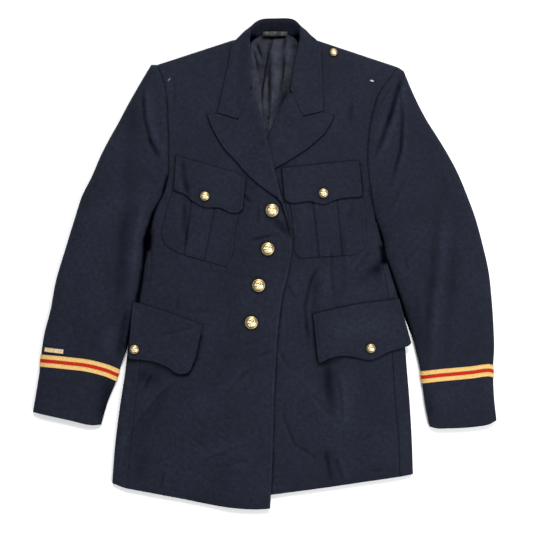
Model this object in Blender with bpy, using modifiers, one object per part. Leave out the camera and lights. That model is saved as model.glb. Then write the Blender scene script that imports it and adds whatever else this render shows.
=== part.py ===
"""Military dress tunic laid out flat, front up.

Frame: metres, +Z up off the surface the tunic lies on, +Y towards the collar,
+X towards the wearer's left. The origin is the middle of the bounding box's
underside. Tables are in millimetres, one row per section or fold, hem or cuff
first; "right" and "left" are the wearer's.
"""

import math

import bmesh
import bpy
from mathutils import Matrix, Vector
from mathutils.bvhtree import BVHTree

MM = 0.001

# Cloth and seams, mm
SHELL = 2.0              # outer cloth with its canvas and lining
LAPEL_CLOTH = 1.8
FLAP_CLOTH = 1.6
POCKET_CLOTH = 1.4
LINING_CLOTH = 1.2
TRIM_CLOTH = 0.8
BAR_CLOTH = 1.6
SEAM = 0.45              # half of the gap between two pieces at a seam
LAY = 0.8                # clearance under a piece that lies on another
PLEAT_CLEARANCE = 0.2    # more under a flap, over the pocket's pleat
LAY_REACH = 8.0          # a piece clears what lies this near each of its points
BAR_REACH = 4.0          # the same for the narrow service bar

# Heights of the laid garment, mm above the surface
EDGE_TOP = 7.0           # where an upper sheet ends at a folded edge
EDGE_LOW = 5.3           # where a lower sheet ends at the same edge
SIDE_ROUND = 42.0        # how far in from the side the body reaches full height
SHOULDER_ROUND = 20.0
SLEEVE_ROUND = 28.0
LOW_ROUND = 13.0
OVERLAP_LIFT = 3.2       # upper front over the under front
LAPEL_LIFT = 6.4         # upper front over the under front and its lapel
LIFT_RAMP = 42.0
COLLAR_RAISE = 3.8       # back neck lies on the folded collar
CROWN = 3.0              # chest fullness
CHEST = (95.0, 130.0, 75.0, 90.0)      # its middle x each side, y, reach across, along
SEWN_Y = (40.0, 130.0)   # from here the sleeve is sewn in, fully from there up
LAPEL_Y = (60.0, 120.0)  # from here the hidden lapel adds to the lift
LIFT_END_Y = (222.0, 285.0)
RAISE_X = ((-85.0, -45.0), (70.0, 110.0))
RAISE_Y = (318.0, 350.0)
SEAM_FULLNESS = 60.0     # how far from the armhole a sleeve reaches its own height
BRAID_LAY = 0.5          # clearance under the braid
PLEAT_RISE = 1.0

# Height of the body's top along the garment: y, height
BODY_LEVEL = [
    (-405, 10.0), (-340, 12.0), (-240, 13.5), (-120, 14.5), (0, 15.5),
    (80, 17.5), (150, 19.0), (220, 20.0), (290, 19.0), (330, 17.0), (385, 16.0),
]
# Height of a sleeve's top along the garment: y, height
SLEEVE_LEVEL = [
    (-270, 13.0), (-200, 15.0), (-100, 17.5), (0, 19.0), (100, 20.0),
    (200, 20.5), (280, 19.0), (330, 15.0),
]
# Broad folds: start x, start y, end x, end y, half width, height
FOLDS = [
    (226, 305, 187, 184, 15, 3.0),
    (-198, 288, -176, 178, 15, 2.6),
    (124, -170, 124, -276, 20, 3.0),
    (35, -172, 118, -258, 18, 2.4),
    (-30, -170, -110, -250, 18, 2.4),
    (-135, -318, -30, -296, 18, 2.0),
    (-330, 60, -215, 110, 20, 2.0),
    (330, 40, 225, 60, 20, 2.0),
]

# Side of the body, hem to underarm:
# front seam x, y, folded edge x, y, depth of the panel under the body
SIDE_RIGHT = [
    (-229, -368, -252, -356, 45), (-222, -306, -247, -297, 45),
    (-215, -240, -240, -240, 45), (-207, -174, -229, -174, 45),
    (-202, -108, -219.5, -108, 45), (-192, -42, -206, -42, 40),
    (-187, 8, -198, 8, 30), (-186.5, 36, -194.5, 36, 15),
    (-184.5, 74, -186.7, 74, 6),
]
SIDE_LEFT = [
    (222, -350, 245, -346, 45), (220, -289, 243, -289, 45),
    (215, -231, 240, -236, 45), (211, -172, 235, -173, 45),
    (207, -116, 230, -116, 45), (203, -50, 219, -50, 40),
    (195, -5, 205, -5, 28), (187, 36, 194, 36, 14),
    (182.6, 70, 184.8, 70, 6),
]
# Armhole, underarm to shoulder: x, y
ARMHOLE_RIGHT = [
    (-184, 84), (-168, 112), (-158.5, 146), (-158, 175), (-158, 205),
    (-159.5, 239), (-161.5, 275), (-167.5, 305), (-177.5, 326.5),
]
ARMHOLE_LEFT = [
    (181, 81), (173, 130), (169, 174), (170.5, 212), (178, 251),
    (187, 280), (203, 303), (220, 325),
]
# Front edge of each front, hem to shoulder: x, y. Up to the break it is the
# finished edge, then the roll of the lapel, then the neck seam.
EDGE_RIGHT = [
    (9, -402), (12, -339), (14, -273), (16, -207), (20, -132), (28, -58),
    (40, -5), (44.5, 36), (37.5, 72), (36, 80), (27, 112), (17.5, 150), (11, 178),
    (4, 205), (-7.5, 245), (-19, 285), (-32, 330), (-52, 365),
]
EDGE_LEFT = [
    (-47, -387), (-47, -314), (-46, -240), (-44, -174), (-41, -99),
    (-29, -35), (-18, 11), (-12, 55), (-10, 85), (-9, 107), (-3, 173), (5, 214),
    (19, 241), (37, 277), (54, 322), (64, 352), (76, 374),
]
# How far the hem drops below the straight line: share of the width, drop
HEM_DROP_RIGHT = [(0.0, 0), (0.35, 4), (0.7, 8), (0.92, 4), (1.0, 0)]
HEM_DROP_LEFT = [(0.0, 0), (0.5, 1), (1.0, 0)]

# Sleeves, cuff to shoulder, down to the armhole: outer x, y, inner x, y
SLEEVE_RIGHT = [
    (-383, -243, -270, -264), (-376, -202, -259, -226),
    (-371, -169, -245.5, -193), (-369, -147, -240, -175),
    (-364, -114, -227, -136), (-354, -75, -217.5, -88),
    (-345, -27, -208, -38), (-330, 24, -201, 5), (-313, 79, -198.5, 41),
]
SLEEVE_LEFT = [
    (383, -257, 272, -267), (379, -220, 264, -226), (377.5, -187, 260, -196),
    (377.5, -165, 257, -175), (379, -141, 251, -147), (378, -103, 240, -108),
    (375, -58, 226, -61), (370, -12, 212, -14), (360, 33, 201, 16),
    (347, 80, 198, 42),
]
# Outer side of the sleeve head, level with the armhole's points: x, y
HEAD_RIGHT = [
    (-300, 113), (-283, 146), (-267, 183), (-254, 207), (-240, 232),
    (-223, 264), (-209, 288), (-196, 311), (-186.5, 327),
]
HEAD_LEFT = [
    (335, 115), (321, 151), (305, 183), (288, 211), (271, 237),
    (255, 264), (241, 292), (230, 318),
]
BRAID_ROWS = (2, 3)      # sleeve sections under the braid's two edges
UPRIGHT = 0.3            # a face whose normal rises less than this stands on edge

# Back: y of the centre seam's points, hem to neck; x of the seam's two ends
BACK_CENTRE_Y_RIGHT = [
    -378, -300, -240, -174, -108, -42, 8, 42, 72, 94, 122, 152, 182, 212,
    245, 282, 330, 383,
]
BACK_CENTRE_Y_LEFT = [
    -378, -300, -236, -173, -112, -48, 0, 40, 70, 96, 138, 180, 217, 255,
    292, 335, 383,
]
CENTRE_X = ((-378, -4.0), (383, 17.0))
NECK_RIGHT = (-52, 365)
NECK_LEFT = (76, 374)
NECK_EASE = (8.0, 14.0)  # inside and outside the neck's corner, the rim fades over this
BACK_NECK_RIGHT = (-20, 380)
BACK_NECK_LEFT = (54, 381)
SHOULDER_RIGHT = ARMHOLE_RIGHT[-1]
SHOULDER_LEFT = ARMHOLE_LEFT[-1]

# Lapels, gorge to break: outer edge x, y, roll x, y
LAPEL_RIGHT = [
    (-94, 246, -22, 291), (-87, 226, -12, 264), (-78, 209, -5, 237),
    (-66, 190, 3, 209), (-50, 173, 9, 186), (-32, 152, 14, 161),
    (-12, 133, 20, 138), (7, 119, 27, 112), (25, 106, 33, 90),
    (35, 82, 39, 67), (40, 58, 44, 46),
]
LAPEL_LEFT = [
    (113, 244, 42, 285), (106, 229, 29, 265), (98, 216, 19, 245),
    (83, 202, 11, 226), (69, 190, 5, 214), (52, 179, 1, 194),
    (35, 168, -2, 176), (18, 159, -4, 158), (3, 147, -6, 140),
]
# Bends of a lapel's top line: share of the way from its tip to the roll, x, y
GORGE_RIGHT = [(0.26, -75.5, 245.5), (0.7, -44, 237)]
GORGE_LEFT = [(0.27, 94, 249), (0.7, 62, 242)]

# Collar, right gorge round the neck to left gorge. Each section goes from the
# edge of the fall over its belly and the crease to the foot of the stand.
# A height of None lies on the cloth beneath.
COLLAR = [
    ((-76, 251, None), (-43.5, 243, None), (-22, 296, 27), (-17, 293, 18)),
    ((-66, 300, None), (-47, 312, None), (-24.5, 330, 27), (-18, 328, 15)),
    ((-58, 338, None), (-43, 346, None), (-25, 356, 27), (-18, 352, 14)),
    ((-55, 358, None), (-42, 366, None), (-25, 373, 26), (-17, 368, 14)),
    ((-49, 374, 8), (-38, 381, 15), (-23, 385, 24), (-15, 378, 13)),
    ((-33, 382, 0), (-28, 389, 3), (-12, 397, 17), (-5, 387, 11)),
    ((18, 356, 0), (18, 396, 0.2), (18, 402, 10), (18, 387, 8.5)),
    ((66, 384, 0), (61, 390, 3), (48, 397.5, 17), (41, 387, 11)),
    ((80, 381, 8), (71, 386, 15), (57.5, 386, 24), (49, 379, 13)),
    ((90, 364, None), (75, 369, None), (57, 374, 26), (50, 369, 14)),
    ((92, 340, None), (75, 347, None), (55, 356, 27), (48, 353, 14)),
    ((94, 300, None), (72, 310, None), (48.5, 324, 27), (42, 322, 15)),
    ((95, 253, None), (63, 246, None), (43, 290, 27), (37.5, 288, 18)),
]

# Points between a section's own: shares of the way, and rise of the first, mm
MID_FALL = 0.45
BEFORE_CREASE = 0.18
AFTER_CREASE = 0.35
CREASE_ROUND = 0.8

# Neck lining: y, left x, right x
LINING = [
    (112, -30, 20), (150, -35, 30), (200, -40, 40), (250, -45, 52),
    (300, -48, 66), (345, -44, 68), (381, -18, 52),
]
LABEL = (17.5, 378.5, 43, 5.5)     # middle x, y, width, height
LABEL_LAY = 0.4

# Pockets on the chest, top to bottom: left x, y, right x, y
POCKET_RIGHT = [
    (-150, 126, -43, 100), (-155, 108, -44, 82), (-163, 77, -47, 64),
    (-169, 48, -50, 46), (-163, 34, -55, 14), (-141, 19, -64, -3),
]
POCKET_LEFT = [
    (36, 122, 158, 126), (42, 98, 161, 106), (47, 62, 165, 78),
    (49, 40, 166, 56), (49, 22, 165.5, 31), (57, 11, 150, 17),
]
PLEAT_SHARES = (0.0, 0.3, 0.34, 0.64, 0.68, 1.0)
# Flaps: points of the top line, then as many of the bottom line, x, y
CHEST_FLAP_RIGHT = (
    [(-145, 178), (-130, 174), (-113, 169), (-96, 164), (-72, 157), (-48, 151), (-31, 142)],
    [(-149, 130), (-134, 118), (-114, 103), (-97, 95), (-72, 93), (-52, 85), (-41, 90)],
)
CHEST_FLAP_LEFT = (
    [(28, 158), (48, 160), (72, 162), (96, 165), (118, 167), (137, 169), (154, 170)],
    [(33, 104), (48, 101), (72, 104), (96, 99), (118, 107), (137, 110), (160, 111)],
)
HIP_FLAP_RIGHT = (
    [(-217, -60), (-194, -67), (-172, -74), (-151, -81), (-130, -89), (-115, -94), (-103, -99)],
    [(-225, -155), (-203, -156), (-180, -160), (-160, -168), (-143, -179), (-128, -178),
     (-114, -154)],
)
HIP_FLAP_LEFT = (
    [(79, -81), (100, -76), (122, -71), (145, -66), (172, -62), (198, -59), (223, -56)],
    [(88, -163), (104, -155), (122, -150), (145, -151), (172, -156), (207, -142), (242, -132)],
)
FLAP_INSET = 16.0        # a flap stays level over the last of the rounded side

# Buttons: node, x, y, diameter, height
BUTTONS = [
    ("button_front_1", 12, 89, 22.9, 7.0), ("button_front_2", 5, 26, 22.9, 7.0),
    ("button_front_3", -10, -34, 22.9, 7.0), ("button_front_4", -22, -95, 22.9, 7.0),
    ("button_chest_right", -98, 112, 15.9, 5.5), ("button_chest_left", 96, 117, 15.9, 5.5),
    ("button_hip_right", -214, -139, 15.9, 5.5), ("button_hip_left", 174, -137, 15.9, 5.5),
    ("button_shoulder_left", 113, 349, 12.7, 5.0),
]
# Button profile, shares of the radius and height, crown to foot
BUTTON_PROFILE = [
    (0.0, 1.0), (0.35, 0.97), (0.68, 0.84), (0.88, 0.66), (1.0, 0.5), (0.94, 0.34),
    (0.5, 0.3), (0.36, 0.0), (0.0, 0.0),
]
BUTTON_SIDES = 14
BUTTON_SEAT = 0.35
SERVICE_BAR = (-347.5, -140.5, 34, 9, -7)     # middle x, y, length, width, degrees

# Shares of the turn from a folded edge to the flat
EDGE_TURN = (0.0, 0.08, 0.35, 0.66, 1.0)
LOW_TURN = (0.0, 0.1, 0.5, 1.0)
SHOULDER_TURN = (0.7, 0.38, 0.1, 0.0)

COLOURS = {
    # name: (red, green, blue), roughness, metallic
    "navy_cloth": ((0.018, 0.021, 0.035), 0.85, 0.0),
    "lining_satin": ((0.035, 0.038, 0.048), 0.45, 0.0),
    "label_cloth": ((0.045, 0.05, 0.052), 0.7, 0.0),
    "gilt_brass": ((0.78, 0.6, 0.28), 0.3, 1.0),
    "braid_lace": ((0.85, 0.5, 0.12), 0.55, 0.0),
}


def material(name):
    """The named Principled material, made once."""
    made = bpy.data.materials.get(name)
    if made:
        return made
    colour, roughness, metallic = COLOURS[name]
    made = bpy.data.materials.new(name)
    made.use_nodes = True
    shader = made.node_tree.nodes["Principled BSDF"]
    shader.inputs["Base Color"].default_value = (*colour, 1.0)
    shader.inputs["Roughness"].default_value = roughness
    shader.inputs["Metallic"].default_value = metallic
    return made


def smooth(value, low, high):
    """0 below low, 1 above high, eased between."""
    share = min(max((value - low) / (high - low), 0.0), 1.0)
    return share * share * (3.0 - 2.0 * share)


def mix(a, b, share):
    return a + (b - a) * share


def read_table(rows, value):
    """Linear reading of rows of (key, result) with rising keys."""
    if value <= rows[0][0]:
        return rows[0][1]
    for (key_a, result_a), (key_b, result_b) in zip(rows, rows[1:]):
        if value <= key_b:
            return mix(result_a, result_b, (value - key_a) / (key_b - key_a))
    return rows[-1][1]


def arch(share):
    """Quarter ellipse: 0 at the edge, 1 from one radius in."""
    share = min(max(share, 0.0), 1.0)
    return math.sqrt(1.0 - (1.0 - share) ** 2)


def fold_height(x, y):
    """Sum of the broad folds at a point."""
    total = 0.0
    for x1, y1, x2, y2, half_width, height in FOLDS:
        along = Vector((x2 - x1, y2 - y1))
        to_point = Vector((x - x1, y - y1))
        length = along.length
        share = to_point.dot(along) / length ** 2
        across = abs(to_point.cross(along)) / length
        ends = smooth(share, -0.15, 0.3) * (1.0 - smooth(share, 0.7, 1.15))
        total += height * ends * math.exp(-(across / half_width) ** 2)
    return total


def side_edge_x(y, side_rows):
    return read_table([(row[3], row[2]) for row in side_rows], y)


def shoulder_distance(x, y):
    """How far a point lies below the nearer shoulder line."""
    if x < 0:
        outer, inner = SHOULDER_RIGHT, NECK_RIGHT
    else:
        outer, inner = SHOULDER_LEFT, NECK_LEFT
    along = Vector((inner[0] - outer[0], inner[1] - outer[1])).normalized()
    across = Vector((-along.y, along.x))
    if across.y > 0:
        across.negate()
    return across.dot(Vector((x - outer[0], y - outer[1])))


def attached(y):
    """0 where the sleeve hangs free of the body, 1 along the armhole."""
    return smooth(y, *SEWN_Y)


def body_top(x, y):
    """Height of the under front's outer face."""
    level = read_table(BODY_LEVEL, y)
    chest_x, chest_y, across, along = CHEST
    chest = ((abs(x) - chest_x) / across) ** 2 + ((y - chest_y) / along) ** 2
    level += CROWN * math.exp(-chest) + fold_height(x, y)
    inset = x - side_edge_x(y, SIDE_RIGHT) if x < 0 else side_edge_x(y, SIDE_LEFT) - x
    rounded = EDGE_TOP + (level - EDGE_TOP) * arch(inset / SIDE_ROUND)
    level = mix(rounded, level, attached(y))
    below = shoulder_distance(x, y)
    return EDGE_TOP + (level - EDGE_TOP) * arch(below / SHOULDER_ROUND)


def upper_lift(x, y):
    """How far the upper front is lifted by what lies under it."""
    hidden_edge = read_table([(point[1], point[0]) for point in EDGE_LEFT], y)
    ramp = smooth(x, hidden_edge - LIFT_RAMP, hidden_edge - 1.0)
    lift = mix(OVERLAP_LIFT, LAPEL_LIFT, smooth(y, *LAPEL_Y))
    return lift * ramp * (1.0 - smooth(y, *LIFT_END_Y))


def back_raise(x, y):
    """The back's neck lies on the fall of the collar."""
    rise, fall = RAISE_X
    return COLLAR_RAISE * smooth(x, *rise) * (1.0 - smooth(x, *fall)) * smooth(y, *RAISE_Y)


class Cloth:
    """Faces laid so far, which later pieces are laid on."""

    def __init__(self):
        self.trees = []

    def add(self, grid):
        columns = len(grid[0])
        points = [Vector(point) for row in grid for point in row]
        faces = []
        for i in range(len(grid) - 1):
            for j in range(columns - 1):
                a = i * columns + j
                faces.append((a, a + 1, a + columns + 1, a + columns))
        self.trees.append(BVHTree.FromPolygons(points, faces))

    def top(self, x, y):
        """Highest laid face at a point, or the body's own height off the edge."""
        heights = []
        for tree in self.trees:
            place = tree.ray_cast(Vector((x, y, 200.0)), Vector((0, 0, -1)))[0]
            if place is not None:
                heights.append(place.z)
        return max(heights) if heights else body_top(x, y)

    def clear_top(self, x, y, reach=LAY_REACH):
        """Highest laid face within reach of a point."""
        turns = [index * math.pi / 4 for index in range(8)]
        near = [(x + reach * math.cos(turn), y + reach * math.sin(turn)) for turn in turns]
        return max(self.top(px, py) for px, py in near + [(x, y)])


def make_sheet(name, grid, thickness, material_name, outward):
    """A shell from rows of points on its outer face, thickened inwards."""
    rows = len(grid)
    columns = len(grid[0])
    mesh = bpy.data.meshes.new(name)
    bm = bmesh.new()
    bmesh.ops.create_grid(bm, x_segments=columns - 1, y_segments=rows - 1, size=1.0)
    bm.verts.ensure_lookup_table()
    for index, vertex in enumerate(bm.verts):
        vertex.co = Vector(grid[index // columns][index % columns]) * MM
    bm.normal_update()
    facing = sum((face.normal * face.calc_area() for face in bm.faces), Vector())
    if facing.dot(Vector(outward)) < 0:
        bmesh.ops.reverse_faces(bm, faces=bm.faces)
    bm.to_mesh(mesh)
    bm.free()
    sheet = bpy.data.objects.new(name, mesh)
    mesh.materials.append(material(material_name))
    mesh.shade_smooth()
    solidify = sheet.modifiers.new("cloth", "SOLIDIFY")
    solidify.thickness = thickness * MM
    solidify.offset = -1.0
    PARTS.objects.link(sheet)
    return sheet


def polyline(points, share):
    """Point at a share of a polyline whose points are evenly shared out."""
    place = share * (len(points) - 1)
    index = min(int(place), len(points) - 2)
    a, b = points[index], points[index + 1]
    return tuple(mix(p, q, place - index) for p, q in zip(a, b))


def near_row(last, previous, distance):
    """A row that lies a distance back from the last one."""
    row = []
    for a, b in zip(last, previous):
        length = math.dist(a, b)
        share = min(distance / length, 0.9)
        row.append((mix(a[0], b[0], share), mix(a[1], b[1], share)))
    return row


def panel_plan(side, edge, top_bends, shares, hem_drop, rounding, turns):
    """Plan of a panel: rows from the side line to the edge line, hem first."""
    plan = []
    for index, (side_point, edge_point) in enumerate(zip(side, edge)):
        row = []
        for share in shares:
            x, y = polyline([side_point, edge_point], share)
            drop = read_table(hem_drop, share) if hem_drop else 0.0
            row.append((x, y - drop * max(0.0, 1.0 - index / 2.0)))
        plan.append(row)
    if top_bends:
        corners = [(0.0, side[-1])] + top_bends + [(1.0, edge[-1])]
        across = [(share, point[0]) for share, point in corners]
        along = [(share, point[1]) for share, point in corners]
        plan[-1] = [(read_table(across, share), read_table(along, share)) for share in shares]
    last, previous = plan[-1], plan[-2]
    near = [near_row(last, previous, rounding * (1.0 - math.cos(turn * math.pi / 2)))
            for turn in turns if turn > 0]
    return plan[:-1] + near + [last]


def shift(points, amount):
    """Points of a seam line moved across by half the seam's gap."""
    return [(x + amount, y) for x, y in points]


def raise_plan(plan, height):
    return [[(x, y, height(x, y)) for x, y in row] for row in plan]


def build_front(name, side_rows, armhole, edge, toward_body, hem_drop, height):
    """A front from its side seam and armhole to its front edge and neck."""
    side = [(row[0], row[1]) for row in side_rows] + list(armhole)
    side = shift(side, SEAM * toward_body)
    shares = (0.0, 0.12, 0.25, 0.38, 0.5, 0.62, 0.72, 0.81, 0.9, 1.0)
    plan = panel_plan(side, edge, None, shares, hem_drop, SHOULDER_ROUND, SHOULDER_TURN)
    grid = raise_plan(plan, height)
    make_sheet(name, grid, SHELL, "navy_cloth", (0, 0, 1))
    return grid


def build_side(name, side_rows, toward_body):
    """A side panel: from the front seam round the folded edge to the back."""
    grid = []
    for seam_x, seam_y, edge_x, edge_y, under in side_rows:
        width = abs(seam_x - edge_x) - SEAM
        full_turn = math.acos(1.0 - width / SIDE_ROUND)
        row = []
        for turn in (1.0, 0.66, 0.36, 0.1, 0.0):
            inset = SIDE_ROUND * (1.0 - math.cos(turn * full_turn))
            y = mix(edge_y, seam_y, inset / width)
            x = edge_x + toward_body * inset
            row.append((x, y, body_top(x, y)))
        for turn in (0.25, 0.6, 1.0):
            angle = turn * math.pi / 2
            inset = min(LOW_ROUND, under * 0.6) * (1.0 - math.cos(angle))
            row.append((edge_x + toward_body * inset, edge_y, EDGE_LOW * (1.0 - math.sin(angle))))
        row.append((edge_x + toward_body * (under - SEAM), edge_y, 0.0))
        grid.append(row)
    make_sheet(name, grid, SHELL, "navy_cloth", (-toward_body, 0, 0.01))
    return grid


def build_back(name, side_rows, armhole, centre_y, neck, neck_bend, toward_body):
    """A back from its side seam and armhole to the centre seam and neck."""
    side = [(row[2] + toward_body * row[4], row[3]) for row in side_rows] + list(armhole)
    side = shift(side, SEAM * toward_body)
    centre = [(read_table(CENTRE_X, y) - toward_body * SEAM, y) for y in centre_y]
    shares = (0.0, 0.22, 0.44, 0.66, 0.84, 1.0)
    bends = [(0.66, neck), (0.84, neck_bend)]
    plan = panel_plan(side, centre, bends, shares, None, LOW_ROUND, SHOULDER_TURN)

    neck_middle = CENTRE_X[-1][1]
    half_neck = abs(neck[0] - neck_middle)

    def height(x, y):
        rim = 1.0 - arch(shoulder_distance(x, y) / LOW_ROUND)
        beside_neck = smooth(abs(x - neck_middle), half_neck - NECK_EASE[0],
                             half_neck + NECK_EASE[1])
        return max(EDGE_LOW * rim * beside_neck, back_raise(x, y))

    grid = raise_plan(plan, height)
    make_sheet(name, grid, SHELL, "navy_cloth", (0, 0, -1))
    return grid


def sleeve_rows(sleeve, head, armhole, toward_body):
    """Sections of a sleeve, cuff to shoulder: outer and inner point."""
    rows = [((a, b), (c, d)) for a, b, c, d in sleeve]
    for outer, (x, y) in zip(head, armhole):
        rows.append((outer, (x - toward_body * SEAM, y)))
    return rows


def sleeve_section(outer, inner, turns, middles, round_in):
    """Points across a sleeve and how far each lies from its two edges."""
    width = math.dist(outer, inner)
    radius = min(round_in, 0.42 * width)
    insets = [radius * (1.0 - math.cos(turn * math.pi / 2)) for turn in turns]
    spread = [mix(radius, width - radius, share) for share in middles]
    places = insets + spread + [width - inset for inset in reversed(insets)]
    section = []
    for place in places:
        x, y = polyline([outer, inner], place / width)
        section.append((x, y, place, width - place, radius))
    return section


def build_topsleeve(name, rows):
    """The upper half of a sleeve, full along its middle."""
    grid = []
    for outer, inner in rows:
        joined = attached(inner[1])
        at_seam = body_top(*inner)
        row = []
        for x, y, from_outer, from_inner, radius in sleeve_section(
                outer, inner, EDGE_TURN, (0.33, 0.67), SLEEVE_ROUND):
            level = read_table(SLEEVE_LEVEL, y) + fold_height(x, y)
            rise = level - EDGE_TOP
            free = EDGE_TOP + rise * arch(from_outer / radius) * arch(from_inner / radius)
            sewn = mix(at_seam, level, smooth(from_inner, 0.0, SEAM_FULLNESS))
            sewn = EDGE_TOP + (sewn - EDGE_TOP) * arch(from_outer / radius)
            row.append((x, y, mix(free, sewn, joined)))
        grid.append(row)
    make_sheet(name, grid, SHELL, "navy_cloth", (0, 0, 1))
    return grid


def build_undersleeve(name, rows):
    """The half that lies on the surface, turned up at its free edges."""
    grid = []
    for outer, inner in rows:
        joined = attached(inner[1])
        row = []
        for x, y, from_outer, from_inner, radius in sleeve_section(
                outer, inner, LOW_TURN, (), LOW_ROUND):
            rim_outer = 1.0 - arch(from_outer / radius)
            rim_inner = (1.0 - arch(from_inner / radius)) * (1.0 - joined)
            row.append((x, y, EDGE_LOW * max(rim_outer, rim_inner)))
        grid.append(row)
    make_sheet(name, grid, SHELL, "navy_cloth", (0, 0, -1))


def build_braid(name, sleeve_grid):
    """Flat braid over the top of a sleeve, from folded edge to folded edge."""
    rows = [sleeve_grid[index] for index in BRAID_ROWS]
    middle = len(rows[0]) // 2
    along = (Vector(rows[1][0]) - Vector(rows[0][0])).normalized()
    grid = []
    for row in rows:
        points = [Vector(point) for point in row]
        lifted = []
        for index, point in enumerate(points):
            before = points[max(index - 1, 0)]
            after = points[min(index + 1, len(points) - 1)]
            normal = along.cross(after - before).normalized()
            outward = normal.x * (point.x - points[middle].x)
            if normal.z < 0 or (normal.z < UPRIGHT and outward < 0):
                normal.negate()
            lifted.append(tuple(point + normal * (BRAID_LAY + TRIM_CLOTH)))
        grid.append(lifted)
    make_sheet(name, grid, TRIM_CLOTH, "braid_lace", (0, 0, 1))


def build_lapel(name, rows, gorge, cloth):
    """A lapel turned back on its front, with a bent top line at the gorge."""
    shares = (0.0, 0.18, 0.36, 0.54, 0.7, 0.85, 1.0)
    grid = []
    for index, (edge_x, edge_y, roll_x, roll_y) in enumerate(rows):
        line = [(edge_x, edge_y), (roll_x, roll_y)]
        row = []
        for share in shares:
            x, y = polyline(line, share)
            if index == 0:
                corners = [(0.0, *line[0])] + gorge + [(1.0, *line[1])]
                x = read_table([(corner[0], corner[1]) for corner in corners], share)
                y = read_table([(corner[0], corner[2]) for corner in corners], share)
            row.append((x, y, cloth.clear_top(x, y) + LAY + LAPEL_CLOTH))
        grid.append(row)
    make_sheet(name, grid, LAPEL_CLOTH, "navy_cloth", (0, 0, 1))
    return grid


def build_collar(cloth):
    """Stand and fall as one folded band."""
    grid = []
    for section in COLLAR:
        lies_on_front = section[0][2] is None
        points = []
        for x, y, z in section:
            if z is None:
                z = cloth.clear_top(x, y) + LAY + LAPEL_CLOTH
            points.append(Vector((x, y, z)))
        edge, belly, crease, stand = points
        # the cloth turns over the crease in a small round
        before = crease.lerp(belly, BEFORE_CREASE) + Vector((0, 0, CREASE_ROUND))
        after = crease.lerp(stand, AFTER_CREASE)
        fall = [edge, edge.lerp(belly, 0.5), belly, belly.lerp(crease, MID_FALL), before]
        if lies_on_front:
            for point in fall:
                point.z = max(point.z, cloth.clear_top(point.x, point.y) + LAY + LAPEL_CLOTH)
        grid.append([tuple(point) for point in fall + [crease, after, stand]])
    make_sheet("collar", grid, LAPEL_CLOTH, "navy_cloth", (0, 0.3, 1))


def build_lining():
    """The back's lining where the neck opening shows it."""
    floor = SHELL + LAY + LINING_CLOTH
    grid = []
    for y, left_x, right_x in LINING:
        row = []
        for share in (0.0, 0.25, 0.5, 0.75, 1.0):
            x = mix(left_x, right_x, share)
            row.append((x, y, floor + back_raise(x, y)))
        grid.append(row)
    make_sheet("lining_back", grid, LINING_CLOTH, "lining_satin", (0, 0, 1))
    return grid


def build_label(lining_grid):
    middle_x, middle_y, width, height = LABEL
    cloth = Cloth()
    cloth.add(lining_grid)
    grid = []
    for up in (-0.5, 0.5):
        row = []
        for across in (-0.5, 0.0, 0.5):
            x = middle_x + across * width
            y = middle_y + up * height
            row.append((x, y, cloth.top(x, middle_y) + LABEL_LAY + TRIM_CLOTH))
        grid.append(row)
    make_sheet("label", grid, TRIM_CLOTH, "label_cloth", (0, 0, 1))


def lay_height(cloth, x, y, above):
    """Height on the laid cloth, kept level over the rounded side."""
    low = side_edge_x(y, SIDE_RIGHT) + FLAP_INSET
    high = side_edge_x(y, SIDE_LEFT) - FLAP_INSET
    return cloth.clear_top(min(max(x, low), high), y) + above


def build_pocket(name, rows, cloth):
    """A patch pocket with a box pleat down its middle."""
    lifts = (0.0, 0.0, PLEAT_RISE, PLEAT_RISE, 0.0, 0.0)
    grid = []
    for left_x, left_y, right_x, right_y in rows:
        row = []
        for share, lift in zip(PLEAT_SHARES, lifts):
            x, y = polyline([(left_x, left_y), (right_x, right_y)], share)
            row.append((x, y, lay_height(cloth, x, y, LAY + POCKET_CLOTH + lift)))
        grid.append(row)
    make_sheet(name, grid, POCKET_CLOTH, "navy_cloth", (0, 0, 1))
    return grid


def build_flap(name, lines, cloth):
    """A flap between its sewn top line and its three-point lower line."""
    top_line, bottom_line = lines
    grid = []
    for down in (0.0, 0.35, 0.7, 1.0):
        row = []
        for top_point, bottom_point in zip(top_line, bottom_line):
            x, y = polyline([top_point, bottom_point], down)
            row.append((x, y, lay_height(cloth, x, y, LAY + PLEAT_CLEARANCE + FLAP_CLOTH)))
        grid.append(row)
    make_sheet(name, grid, FLAP_CLOTH, "navy_cloth", (0, 0, 1))
    return grid


def build_button(name, x, y, diameter, height, cloth):
    """A domed button turned about its shank."""
    radius = diameter / 2
    foot = cloth.clear_top(x, y, radius * BUTTON_PROFILE[-2][0])
    under_rim = cloth.clear_top(x, y, radius) - height * BUTTON_PROFILE[-3][1]
    base = max(foot, under_rim) + BUTTON_SEAT
    mesh = bpy.data.meshes.new(name)
    bm = bmesh.new()
    profile = [bm.verts.new((radius * r * MM, 0, height * h * MM)) for r, h in BUTTON_PROFILE]
    for a, b in zip(profile, profile[1:]):
        bm.edges.new((a, b))
    bm.to_mesh(mesh)
    bm.free()
    mesh.materials.append(material("gilt_brass"))
    button = bpy.data.objects.new(name, mesh)
    button.location = Vector((x, y, base)) * MM
    screw = button.modifiers.new("turned", "SCREW")
    screw.steps = BUTTON_SIDES
    screw.render_steps = BUTTON_SIDES
    screw.use_merge_vertices = True
    screw.merge_threshold = 0.00002
    screw.use_smooth_shade = True
    PARTS.objects.link(button)


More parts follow.
